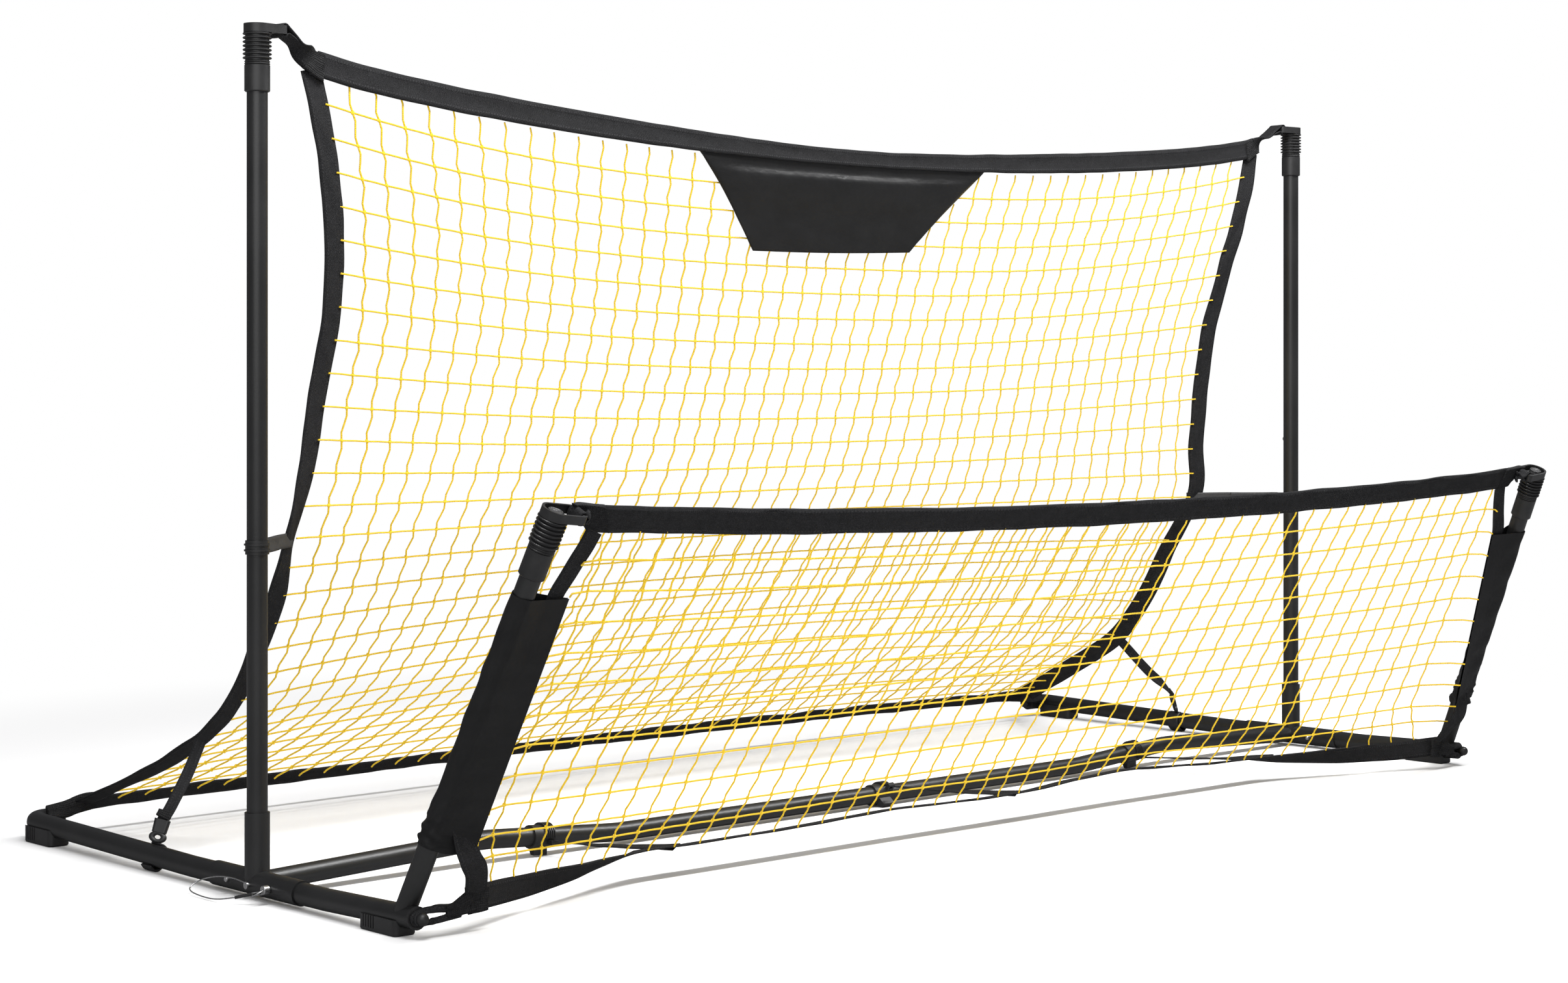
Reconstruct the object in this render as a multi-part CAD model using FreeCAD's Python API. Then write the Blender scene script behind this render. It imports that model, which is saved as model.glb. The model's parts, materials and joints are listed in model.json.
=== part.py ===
import FreeCAD
import Part
import math
import os

# A free-standing two-sided ball rebounder, in millimetres.
# +X runs along the crossbar to the right, +Y to the rear, +Z up from the floor.
# The low sloping net is at the front, the tall net hangs from the uprights and runs down to the rear.

V = FreeCAD.Vector

# frame
upright_spacing = 2060.0
half_span = upright_spacing / 2
tee_y = -30.9
tee_z = 18.5
rail_rear_z = 26.0
rail_front_z = 23.0
rail_level = 150.0
pole_d = 25.4
rail_d = 27.0
tube_wall = 1.5
joint_d = 30.6
rail_bore = 27.2
pole_bore = 25.6
sleeve_rear = 92.0
sleeve_front = 100.0
socket_top = 104.0
rail_rear = 577.0
rail_front = 333.0
elbow_radius = 22.0
elbow_stub = 14.0

# uprights
upright_foot_z = 36.0
upright_seam_z = 560.0
spigot_d = 22.2
spigot_length = 80.0
upright_button_z = 527.0
cap_bottom_z = 980.0
pole_in_cap = 58.0

# front poles
front_pole_y = -308.0
front_pole_lean = 48.0
front_pole_forward = 175.0
front_pole_top_z = 414.0

# crossbar
crossbar_crown_x = 690.0
crossbar_crown_z = 32.0
crossbar_dip_x = 470.0
crossbar_low_z = 16.8
crossbar_seam_x = 318.0
crossbar_bend = 420.0

# plastic cap and swivel bracket on each pole
cap_sleeve_d = 31.0
cap_sleeve_h = 32.0
cap_rib_d = 35.0
cap_root_d = 29.0
cap_rib_count = 7
cap_rib_pitch = 4.9
cap_shallow_count = 2
cap_shallow_pitch = 2.7
cap_h = cap_sleeve_h + cap_shallow_count * cap_shallow_pitch + cap_rib_count * cap_rib_pitch
stud_d = 8.0
stud_head_d = 18.0
stud_gap = 0.3
bracket_d = 33.0
bracket_h = 11.0
bracket_wall = 3.0
bracket_floor = 3.0
bracket_reach = 36.0
bracket_bar = 6.5
bracket_slot_x = 19.0

# pins, buttons and the wire
pin_y = tee_y - 50.0
pin_d = 8.0
pin_fit = 0.08
pin_head_d = 11.0
ring_r = 9.0
ring_wire_d = 1.8
button_y = tee_y + 44.0
button_d = 7.0
button_fit = 0.08
button_proud = 3.0
rivet_y = tee_y - 4.0
rivet_z = 17.5
wire_d = 1.6
crimp_d = 4.2

# webbing, bands and nets
band_w = 32.0
band_t = 3.0
web_w = 25.0
web_t = 2.0
net_t = 3.0
net_cord_w = 7.0
top_band_mid_z = 952.0
top_band_rise = 62.0
band_corner_x = 926.0
front_base_y = -343.0
front_base_z = 26.0
front_slope = math.radians(19.7)
front_band_mid_h = 457.0
front_band_rise = 22.0
front_corner_x = 906.0

# fittings on the uprights and the crossbar
strap_clip_z = 426.0
strap_clip_h = 17.0
strap_clip_d = 32.0
strap_clip_turn = math.radians(43)
clip_foot_x = 600.0
clip_centre_x = 30.0
clip_length = 32.0
clip_d = 31.0
clip_rib_d = 37.0
clip_rib_count = 5
clip_keel_r = 24.2
clip_centre_turn = 56.0
foot_length = 74.0
foot_width = 31.0
rear_foot_back = 532.0
front_foot_back = -277.0

nodes = {}


def cylinder(a, b, d):
    """A solid rod of diameter d from point a to point b."""
    return Part.makeCylinder(d / 2, (b - a).Length, a, b - a)


def tube(a, b, outer, bore):
    """A hollow tube from a to b."""
    reach = (b - a).normalize()
    return cylinder(a, b, outer).cut(cylinder(a - reach, b + reach, bore))


def box(x0, x1, y0, y1, z0, z1):
    return Part.makeBox(x1 - x0, y1 - y0, z1 - z0, V(x0, y0, z0))


def prism(points, depth):
    """A flat outline pushed out along the vector depth."""
    outline = Part.makePolygon(points + [points[0]])
    return Part.Face(outline).extrude(depth)


def mirrored(shape):
    """The right-hand twin of a left-hand piece."""
    return shape.mirror(V(0, 0, 0), V(1, 0, 0))


def placed(shape, origin, up, ahead):
    """Moves a piece built about +Z, with its nose along +X, to a pole's end."""
    across = up.cross(ahead)
    ahead = across.cross(up)
    up.normalize()
    across.normalize()
    ahead.normalize()
    turned = shape.copy()
    turned.Placement = FreeCAD.Placement(FreeCAD.Matrix(ahead.x, across.x, up.x, origin.x,
                                                        ahead.y, across.y, up.y, origin.y,
                                                        ahead.z, across.z, up.z, origin.z,
                                                        0, 0, 0, 1))
    return turned


def both_sides(name, left):
    """Keeps a left-hand piece and its mirror image as two nodes."""
    nodes[name + "_left"] = left
    nodes[name + "_right"] = mirrored(left)


def bent_path(points, radius=None, share=0.45):
    """Straight runs joined by tangent arcs; without a radius each arc is as large as its runs allow."""
    edges = []
    start = points[0]
    radii = []
    for before, corner, after in zip(points, points[1:], points[2:]):
        back = before - corner
        ahead = after - corner
        shorter = min(back.Length, ahead.Length)
        half_turn = (math.pi - back.getAngle(ahead)) / 2
        r = radius if radius else share * shorter / math.tan(half_turn)
        trim = r * math.tan(half_turn)
        back.normalize()
        ahead.normalize()
        enter = corner + back * trim
        leave = corner + ahead * trim
        bisector = (back + ahead).normalize()
        middle = corner + bisector * (r / math.cos(half_turn) - r)
        edges.append(Part.LineSegment(start, enter).toShape())
        edges.append(Part.Arc(enter, middle, leave).toShape())
        start = leave
        radii.append(round(r, 1))
    edges.append(Part.LineSegment(start, points[-1]).toShape())
    return Part.Wire(edges), radii


def rod_along(path, start, direction, d):
    """A round rod swept along a path."""
    profile = Part.Wire(Part.makeCircle(d / 2, start, direction))
    return path.makePipeShell([profile], True, False)


def ribbon(points, across, width, thickness):
    """A strip of webbing through points; across gives the width direction at each."""
    sections = []
    count = len(points)
    for i, (p, w) in enumerate(zip(points, across)):
        along = points[min(i + 1, count - 1)] - points[max(i - 1, 0)]
        along.normalize()
        side = (w - along * w.dot(along)).normalize()
        normal = along.cross(side).normalize()
        half_w = side * (width / 2)
        half_t = normal * (thickness / 2)
        corners = [p - half_w - half_t, p + half_w - half_t, p + half_w + half_t, p - half_w + half_t]
        sections.append(Part.makePolygon(corners + [corners[0]]))
    return Part.makeLoft(sections, True, True)


def tee_point(x, back, z):
    """A point given by its distance behind the upright's plane."""
    return V(x, tee_y + back, z)


def rail_point(back):
    """A point on the left rail's axis: level through the sleeve, then rising gently to both ends."""
    z = tee_z
    if back > rail_level:
        z += (rail_rear_z - tee_z) * (back - rail_level) / (rail_rear - rail_level)
    if back < -rail_level:
        z += (rail_front_z - tee_z) * (-back - rail_level) / (rail_front - rail_level)
    return tee_point(-half_span, back, z)


# welded steel base

def rail_sleeve():
    """Short sleeve that both rail tubes push into, with holes for the lock pin and the button."""
    x = -half_span
    body = tube(tee_point(x, -sleeve_front, tee_z), tee_point(x, sleeve_rear, tee_z), joint_d, rail_bore)
    pin_hole = cylinder(V(x - 20, pin_y, tee_z), V(x + 20, pin_y, tee_z), pin_d + 2 * pin_fit)
    button_hole = cylinder(V(x - 20, button_y, tee_z), V(x, button_y, tee_z), button_d + 2 * button_fit)
    return body.cut(pin_hole).cut(button_hole)


def upright_socket():
    """Upright socket, its lower end cut to sit on the rail sleeve."""
    x = -half_span
    body = tube(tee_point(x, 0, tee_z), tee_point(x, 0, socket_top), joint_d, pole_bore)
    return body.cut(cylinder(tee_point(x, -40, tee_z), tee_point(x, 40, tee_z), joint_d))


def crossbar_arm():
    """Outer part of the crossbar: it rises a little from the tee, then dips towards the middle."""
    points = [tee_point(-half_span, 0, tee_z),
              tee_point(-crossbar_crown_x, 0, crossbar_crown_z),
              tee_point(-crossbar_dip_x, 0, crossbar_low_z),
              tee_point(-crossbar_seam_x, 0, crossbar_low_z)]
    path = bent_path(points, crossbar_bend)[0]
    heading = points[1] - points[0]
    bar = rod_along(path, points[0], heading, pole_d)
    bar = bar.cut(rod_along(path, points[0], heading, pole_d - 2 * tube_wall))
    sleeve = cylinder(tee_point(-half_span, -40, tee_z), tee_point(-half_span, 40, tee_z), joint_d)
    socket = cylinder(tee_point(-half_span, 0, tee_z), tee_point(-half_span, 0, socket_top), joint_d)
    return bar.cut(sleeve).cut(socket)


def crossbar_middle():
    """Middle tube with a swaged plug at each end that slides into the arms."""
    inner = pole_d - 2 * tube_wall - 0.2
    end = crossbar_seam_x
    plug = 60.0
    bar = cylinder(tee_point(-end, 0, crossbar_low_z), tee_point(end, 0, crossbar_low_z), pole_d)
    bar = bar.fuse(cylinder(tee_point(-end - plug, 0, crossbar_low_z),
                            tee_point(end + plug, 0, crossbar_low_z), inner))
    bore = cylinder(tee_point(-end - plug - 1, 0, crossbar_low_z),
                    tee_point(end + plug + 1, 0, crossbar_low_z), inner - 2 * tube_wall)
    return bar.cut(bore)


def bent_tube(points, radius):
    path = bent_path(points, radius)[0]
    heading = points[1] - points[0]
    bore = rail_d - 2 * tube_wall
    return rod_along(path, points[0], heading, rail_d).cut(rod_along(path, points[0], heading, bore))


def rear_rail():
    """Rear rail: it rises slightly to a tight elbow turned inward."""
    corner = rail_point(rail_rear)
    inward = V(elbow_radius + elbow_stub, 0, 0)
    shell = bent_tube([rail_point(1), rail_point(rail_level), corner, corner + inward], elbow_radius)
    x = -half_span
    hole = cylinder(V(x - 20, button_y, tee_z), V(x, button_y, tee_z), button_d + 2 * button_fit)
    return shell.cut(hole)


def front_rail():
    """Front rail, drilled through for the lock pin."""
    x = -half_span
    shell = bent_tube([rail_point(-1), rail_point(-rail_level), rail_point(-rail_front)], elbow_radius)
    hole = cylinder(V(x - 20, pin_y, tee_z), V(x + 20, pin_y, tee_z), pin_d + 2 * pin_fit)
    return shell.cut(hole)


def rail_foot(back):
    """Moulded foot clipped under a rail: a saddle block with grip ribs at one end of its outer side."""
    x = -half_span
    y = tee_y + back
    half_l = foot_length / 2
    half_w = foot_width / 2
    body = box(x - half_w, x + half_w, y - half_l, y + half_l, 0, rail_point(back).z - 3)
    upright_edges = [e for e in body.Edges if abs(e.tangentAt(e.FirstParameter).z) > 0.9]
    body = body.makeFillet(7.0, upright_edges)
    low_edges = [e for e in body.Edges if e.BoundBox.ZMax < 0.01]
    body = body.makeFillet(2.5, low_edges)
    for i in range(5):
        groove_y = y + half_l - 11 - 5 * i
        body = body.cut(box(x - half_w - 1, x - half_w + 1.3, groove_y - 1, groove_y + 1, 4, 40))
    return body.cut(cylinder(rail_point(back - 55), rail_point(back + 44), rail_d))


# uprights and front poles

def lower_upright():
    x = -half_span
    body = tube(tee_point(x, 0, upright_foot_z), tee_point(x, 0, upright_seam_z),
                pole_d, pole_d - 2 * tube_wall)
    hole = cylinder(tee_point(x, 0, upright_button_z), tee_point(x, 20, upright_button_z),
                    button_d + 2 * button_fit)
    return body.cut(hole)


def upper_upright():
    """Upper tube with a swaged spigot that plugs into the lower one."""
    x = -half_span
    low = upright_seam_z - spigot_length
    high = cap_bottom_z + pole_in_cap
    body = cylinder(tee_point(x, 0, upright_seam_z), tee_point(x, 0, high), pole_d)
    body = body.fuse(cylinder(tee_point(x, 0, low), tee_point(x, 0, upright_seam_z), spigot_d))
    body = body.cut(cylinder(tee_point(x, 0, low - 1), tee_point(x, 0, high + 1), spigot_d - 2 * tube_wall))
    hole = cylinder(tee_point(x, 0, upright_button_z), tee_point(x, 20, upright_button_z),
                    button_d + 2 * button_fit)
    return body.cut(hole)


def front_pole_line():
    """Foot, direction and length of the front pole's axis."""
    foot = rail_point(front_pole_y)
    direction = V(front_pole_lean, -front_pole_forward, front_pole_top_z - foot.z)
    length = direction.Length
    return foot, direction.normalize(), length


def front_pole():
    """Pole welded on the rail's front end, leaning forward and a little inward."""
    foot, up, length = front_pole_line()
    top = foot + up * (length + pole_in_cap)
    body = cylinder(foot, top, pole_d)
    body = body.cut(cylinder(foot - up, top + up, pole_d - 2 * tube_wall))
    return body.cut(cylinder(rail_point(-rail_level - 20), rail_point(-rail_front - 30), rail_d))


# caps and swivel brackets

def bellows_cap():
    """Moulded cap: plain sleeve, two shallow beads, then a stack of deep rings under a flat top."""
    r_sleeve = cap_sleeve_d / 2
    r_rib = cap_rib_d / 2
    r_root = cap_root_d / 2
    r_bore = pole_bore / 2
    outline = [V(r_bore, 0, 0), V(r_sleeve - 1, 0, 0), V(r_sleeve, 0, 1), V(r_sleeve, 0, cap_sleeve_h)]
    z = cap_sleeve_h
    for i in range(cap_shallow_count):
        outline += [V(r_sleeve - 1, 0, z + 0.6), V(r_sleeve, 0, z + 1.5), V(r_sleeve, 0, z + 2.2)]
        z += cap_shallow_pitch
    for i in range(cap_rib_count):
        outline += [V(r_root, 0, z + 0.6), V(r_root, 0, z + 2.2), V(r_rib - 0.6, 0, z + 2.6),
                    V(r_rib, 0, z + 3.2), V(r_rib, 0, z + 3.9), V(r_rib - 0.6, 0, z + 4.5)]
        z += cap_rib_pitch
    outline += [V(0, 0, cap_h), V(0, 0, pole_in_cap + 0.5), V(r_bore, 0, pole_in_cap + 0.5)]
    body = Part.Face(Part.makePolygon(outline + [outline[0]])).revolve(V(0, 0, 0), V(0, 0, 1), 360)
    return body.cut(Part.makeCylinder(stud_d / 2, cap_h, V(0, 0, pole_in_cap)))


def swivel_stud():
    """Flat-headed stud pressed into the cap's top, with a shallow drive recess."""
    under_head = cap_h + stud_gap + bracket_floor + stud_gap
    body = Part.makeCylinder(stud_d / 2, under_head - pole_in_cap - 2, V(0, 0, pole_in_cap + 2))
    head = Part.makeCylinder(stud_head_d / 2, 3.0, V(0, 0, under_head))
    head = head.makeFillet(0.8, [e for e in head.Edges if e.BoundBox.ZMin > under_head + 2.9])
    recess = Part.makeCylinder(3.2, 1.5, V(0, 0, under_head + 1.8))
    return body.fuse(head).removeSplitter().cut(recess)


def swivel_bracket():
    """Stirrup that turns about the stud: a shallow cup whose walls run on to a bar for the corner strap."""
    low = cap_h + stud_gap
    high = cap_h + bracket_h
    r = bracket_d / 2
    tall = high - low
    outer = Part.makeCylinder(r, tall, V(0, 0, low))
    nose = box(0, bracket_reach, -r, r, low, high)
    far_corners = [e for e in nose.Edges
                   if abs(e.tangentAt(e.FirstParameter).z) > 0.9 and e.BoundBox.XMin > bracket_reach - 1]
    outer = outer.fuse(nose.makeFillet(6.0, far_corners)).removeSplitter()
    inner = Part.makeCylinder(r - bracket_wall, tall, V(0, 0, low + bracket_floor))
    inner = inner.fuse(box(0, bracket_reach - bracket_bar, -r + bracket_wall, r - bracket_wall,
                           low + bracket_floor, high + 1))
    slot = box(bracket_slot_x, bracket_reach - bracket_bar, -r + bracket_wall, r - bracket_wall,
               low - 1, high)
    bore = Part.makeCylinder(stud_d / 2 + pin_fit, 40, V(0, 0, cap_h - 5))
    return outer.cut(inner).cut(slot).cut(bore)


def cap_sets():
    """Cap, bracket and stud for the left upright and the left front pole: name, foot, axis, strap side."""
    foot, up, length = front_pole_line()
    inward_front = V(1, 0, 0) - up * V(1, 0, 0).dot(up)
    return [("main", tee_point(-half_span, 0, cap_bottom_z), V(0, 0, 1), V(1, 0.12, 0)),
            ("front", foot + up * length, up, inward_front)]


def build_caps():
    studs = []
    for name, origin, up, ahead in cap_sets():
        both_sides(name + "_cap", placed(bellows_cap(), origin, V(up), V(ahead)))
        both_sides(name + "_swivel", placed(swivel_bracket(), origin, V(up), V(ahead)))
        stud = placed(swivel_stud(), origin, V(up), V(ahead))
        studs += [stud, mirrored(stud)]
    nodes["swivel_studs"] = Part.makeCompound(studs)


# pins, buttons, springs and the wire

def lock_pin():
    """Quick-release pin through the sleeve; its split ring droops outward through the head."""
    x = -half_span
    head_x = x - joint_d / 2 - 0.4
    middle = V(head_x - 5, pin_y, tee_z)
    shank = cylinder(V(head_x, pin_y, tee_z), V(x + joint_d / 2 + 5, pin_y, tee_z), pin_d)
    nose = Part.makeSphere(pin_d / 2, V(x + joint_d / 2 + 5, pin_y, tee_z))
    head = cylinder(V(head_x - 8.5, pin_y, tee_z), V(head_x, pin_y, tee_z), pin_head_d)
    head = head.makeFillet(1.2, [e for e in head.Edges if len(e.Vertexes) == 1])
    droop = V(-0.55, 0.69, -0.46).normalize()
    ring_normal = V(-0.26, 0.34, 0.82).normalize()
    centre = middle + droop * ring_r
    ring = Part.makeTorus(ring_r, ring_wire_d / 2, centre, ring_normal)
    eye = Part.makeTorus(ring_r, ring_wire_d / 2 + 0.3, centre, ring_normal)
    return Part.makeCompound([shank.fuse(nose).fuse(head).removeSplitter().cut(eye), ring])


def snap_button(origin, outward, tube_inner_r, proud_r):
    """Domed button with a flange inside the tube, built along the outward direction."""
    shank = cylinder(origin + outward * (tube_inner_r - 3), origin + outward * (proud_r - 1), button_d)
    dome = Part.makeCone(button_d / 2, button_d / 2 - 1, 1.0, origin + outward * (proud_r - 1), outward)
    flange = cylinder(origin + outward * (tube_inner_r - 4.5), origin + outward * (tube_inner_r - 3), 9.0)
    return shank.fuse(dome).fuse(flange).removeSplitter()


def hairpin(origin, outward, along, inner_r):
    """Leaf spring bent double inside a tube: its back leg lies against the far wall."""
    w = along.cross(outward)
    half = 3.5
    leg = 1.0
    far = outward * (-inner_r + 2.2)
    near = outward * (inner_r - 6.0)
    start = origin + far - w * half - along * 40
    back_leg = prism([start, start + outward * leg, start + outward * leg + along * 46, start + along * 46],
                     w * (2 * half))
    low = origin + near - w * half - along * 40
    front_leg = prism([low, low - outward * leg, low - outward * leg + along * 33, low + along * 33],
                      w * (2 * half))
    base = prism([start, low, low - along * leg, start - along * leg], w * (2 * half))
    return back_leg.fuse(front_leg).fuse(base).removeSplitter()


def build_buttons():
    upright_origin = tee_point(-half_span, 0, upright_button_z)
    rail_origin = V(-half_span, button_y, tee_z)
    spigot_r = spigot_d / 2 - tube_wall
    rail_r = rail_d / 2 - tube_wall
    both_sides("upright_button", snap_button(upright_origin, V(0, 1, 0), spigot_r, pole_d / 2 + button_proud))
    both_sides("rail_button", snap_button(rail_origin, V(-1, 0, 0), rail_r, joint_d / 2 + button_proud))
    springs = [hairpin(upright_origin, V(0, 1, 0), V(0, 0, 1), spigot_r),
               hairpin(rail_origin, V(-1, 0, 0), V(0, -1, 0), rail_r)]
    nodes["snap_springs"] = Part.makeCompound(springs + [mirrored(s) for s in springs])


def lanyard_points():
    """Route of the pin's safety wire: from its rivet back along the sleeve, out in a loop and forward."""
    x = -half_span
    return [tee_point(x - 16.6, -0.9, 19.5),
            tee_point(x - 17.6, 9, 21.5),
            tee_point(x - 20.5, 28, 23.5),
            tee_point(x - 25.2, 50, 22.5),
            tee_point(x - 29.5, 68, 18.5),
            tee_point(x - 33.8, 77.5, 14.9),
            tee_point(x - 40.5, 81.4, 10.4),
            tee_point(x - 48.1, 78.1, 6.8),
            tee_point(x - 51.4, 68, 4.6),
            tee_point(x - 53, 54, 3.6),
            tee_point(x - 53.2, 38, 2.8),
            tee_point(x - 52.8, 21, 2.6),
            tee_point(x - 51.2, 5, 3.8),
            tee_point(x - 47.8, -9.5, 6.2),
            tee_point(x - 42.5, -21, 8.6)]


def build_lanyard():
    points = lanyard_points()
    path, radii = bent_path(points)
    wire = rod_along(path, points[0], points[1] - points[0], wire_d)
    print("lanyard arc radii", radii, "length", round(path.Length, 1),
          "volume ratio", round(wire.Volume / (path.Length * math.pi * wire_d ** 2 / 4), 4))
    nodes["lanyard_wire"] = wire
    end = points[-1]
    heading = V(13.4, -16, 4.6).normalize()
    nodes["lanyard_crimp"] = cylinder(end, end + heading * 11, crimp_d)
    x = -half_span
    rivet = cylinder(V(x - 18, rivet_y, rivet_z), V(x - joint_d / 2 + 1.5, rivet_y, rivet_z), 6.0)
    flange = cylinder(V(x - 19.2, rivet_y, rivet_z), V(x - 17.9, rivet_y, rivet_z), 9.0)
    sleeve = cylinder(tee_point(x, -40, tee_z), tee_point(x, 40, tee_z), joint_d)
    rivet = rivet.fuse(flange).removeSplitter().cut(sleeve)
    nodes["lanyard_rivets"] = Part.makeCompound([rivet, mirrored(rivet)])


# fittings that carry the net

def end_knob():
    """Plug in the rail's front end with a round knob for the front net's corner strap."""
    face = rail_point(-rail_front)
    ahead = (face - rail_point(-rail_front + 50)).normalize()
    plug = cylinder(face - ahead * 14, face, rail_d - 2 * tube_wall)
    flange = cylinder(face, face + ahead * 3, rail_d)
    neck = cylinder(face + ahead * 3, face + ahead * 8, 8.0)
    ball = Part.makeSphere(7.4, face + ahead * 13)
    return plug.fuse(flange).fuse(neck).fuse(ball).removeSplitter()


def rear_plug():
    """Plug in the elbow's open end, with a neck and a flat head that hold the tall net's corner strap."""
    face = rail_point(rail_rear) + V(elbow_radius + elbow_stub, 0, 0)
    plug = cylinder(face - V(9, 0, 0), face, rail_d - 2 * tube_wall)
    flange = cylinder(face, face + V(2.5, 0, 0), rail_d)
    neck = cylinder(face + V(2.5, 0, 0), face + V(9, 0, 0), 9.0)
    head = cylinder(face + V(9, 0, 0), face + V(12, 0, 0), 17.0)
    return plug.fuse(flange).fuse(neck).fuse(head).removeSplitter()


def strap_clip():
    """Split collar on the upright, with two ridges and a slotted ear for the side strap."""
    low = strap_clip_z - strap_clip_h / 2
    r = strap_clip_d / 2
    body = Part.makeCylinder(r - 1.5, strap_clip_h, V(0, 0, low))
    for z in (low + 4, low + strap_clip_h - 6):
        body = body.fuse(Part.makeCylinder(r, 2.0, V(0, 0, z)))
    ear = box(8, 30, -5, 5, low, low + strap_clip_h)
    body = body.fuse(ear).removeSplitter()
    body = body.cut(Part.makeCylinder(pole_d / 2 + 0.1, 40, V(0, 0, low - 10)))
    body = body.cut(box(21, 26, -8, 8, low + 2.5, low + strap_clip_h - 2.5))
    body = body.cut(box(10, 40, -0.8, 0.8, low - 5, low + strap_clip_h + 5).common(
        Part.makeCylinder(19, 60, V(0, 0, low - 10))))
    body.rotate(V(0, 0, 0), V(0, 0, 1), math.degrees(strap_clip_turn))
    body.translate(tee_point(-half_span, 0, 0))
    return body


def clip_foot(x, z, slope, turn):
    """C-shaped clip on the crossbar: half smooth, half finned, with a keel below and a strap eye in front."""
    half = clip_length / 2
    body = cylinder(V(-half, 0, 0), V(half, 0, 0), clip_d)
    for i in range(clip_rib_count):
        fin_x = 1.5 + i * (half - 3) / (clip_rib_count - 1)
        fin = cylinder(V(fin_x - 0.8, 0, 0), V(fin_x + 0.8, 0, 0), clip_rib_d)
        body = body.fuse(fin.cut(box(-half, half, -30, 30, -30, 0)))
    keel = prism([V(-half + 3, -8, -8), V(-half + 7, -3.5, -clip_keel_r), V(-half + 7, 3.5, -clip_keel_r),
                  V(-half + 3, 8, -8)], V(clip_length - 10, 0, 0))
    eye = box(half - 12, half, -24, -8, -9, -3)
    eye = eye.cut(box(half - 9, half - 3, -21, -17, -12, 0))
    body = body.fuse(keel).fuse(eye).removeSplitter()
    body = body.cut(cylinder(V(-40, 0, 0), V(40, 0, 0), pole_d + 0.2))
    body = body.cut(box(-40, 40, 0, 40, -1.5, 1.5))
    body.rotate(V(0, 0, 0), V(1, 0, 0), -turn)
    body.rotate(V(0, 0, 0), V(0, 1, 0), -slope)
    body.translate(tee_point(x, 0, z))
    return body


def build_clip_feet():
    fall = crossbar_crown_z - crossbar_low_z
    run = crossbar_crown_x - crossbar_dip_x
    slope = math.degrees(math.atan2(-fall, run))
    z = crossbar_crown_z - fall * (crossbar_crown_x - clip_foot_x) / run
    nodes["clip_foot_left"] = clip_foot(-clip_foot_x, z, slope, 0)
    nodes["clip_foot_right"] = clip_foot(clip_foot_x, z, -slope, 0)
    nodes["clip_foot_centre"] = clip_foot(clip_centre_x, crossbar_low_z, 0, clip_centre_turn)


# bands, straps and nets

def top_band_z(x):
    return top_band_mid_z + top_band_rise * (x / band_corner_x) ** 2


def side_band_points():
    """Centre line of the tall net's left side band, from the top corner down to the rear rail's end."""
    inward_back_height = [(88, 14, 998), (130, 28, 870), (147, 62, 712), (134, 100, 512),
                          (123, 118, 432), (125, 225, 240), (115, 318, 158), (62, 560, 42)]
    return [tee_point(-half_span + a, b, z) for a, b, z in inward_back_height]


def front_point(x, height):
    """A point on the front net's plane, by its height measured up the slope."""
    return V(x, tee_y + front_base_y - height * math.sin(front_slope),
             front_base_z + height * math.cos(front_slope))


def front_band_h(x):
    return front_band_mid_h + front_band_rise * (x / front_corner_x) ** 2


def bottom_band_points():
    """Centre line of the front net's bottom band: straps draw it back towards the crossbar."""
    corner = tee_point(-958, -340, 38)
    pulled = [tee_point(-560, -252, 42), tee_point(80, -246, 42), tee_point(660, -252, 42)]
    return [corner] + pulled + [tee_point(958, -340, 38)]


def build_bands():
    steps = [band_corner_x * (i / 6 - 1) for i in range(13)]
    up = V(0, 0, 1)
    top = [tee_point(x, 14, top_band_z(x)) for x in steps]
    nodes["main_band_top"] = ribbon(top, [up] * len(top), band_w, band_t)
    side = side_band_points()
    both_sides("main_band_side", ribbon(side, [V(1, 0, 0)] * len(side), band_w, band_t))
    rear_x = half_span - 62
    bottom = [tee_point(-rear_x, 560, 42), tee_point(0, 558, 44), tee_point(rear_x, 560, 42)]
    nodes["main_band_bottom"] = ribbon(bottom, [V(0, 1, -0.42)] * 3, band_w, band_t)
    slope_up = V(0, -math.sin(front_slope), math.cos(front_slope))
    steps = [front_corner_x * (i / 4 - 1) for i in range(9)]
    front = [front_point(x, front_band_h(x)) for x in steps]
    nodes["front_band_top"] = ribbon(front, [slope_up] * len(front), band_w, band_t)
    low = bottom_band_points()
    nodes["front_band_bottom"] = ribbon(low, [V(0, -0.5, 0.87)] * len(low), web_w, band_t)


def pole_sleeve():
    """Fabric pocket on the front pole: a tube round the pole and a flat wing to the net's edge."""
    foot, up, length = front_pole_line()
    low = foot + up * 100
    high = foot + up * 404
    pocket = cylinder(low, high, pole_d + 5.0)
    outline = [low, high, front_point(-919, 387), front_point(-972, 82)]
    normal = (outline[1] - outline[0]).cross(outline[2] - outline[0]).normalize()
    flat = [p - normal * (p - outline[0]).dot(normal) - normal * (band_t / 2) for p in outline]
    wing = prism(flat, normal * band_t)
    body = pocket.fuse(wing).removeSplitter()
    return body.cut(cylinder(foot, foot + up * (length + 60), pole_d + 0.6))


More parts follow.
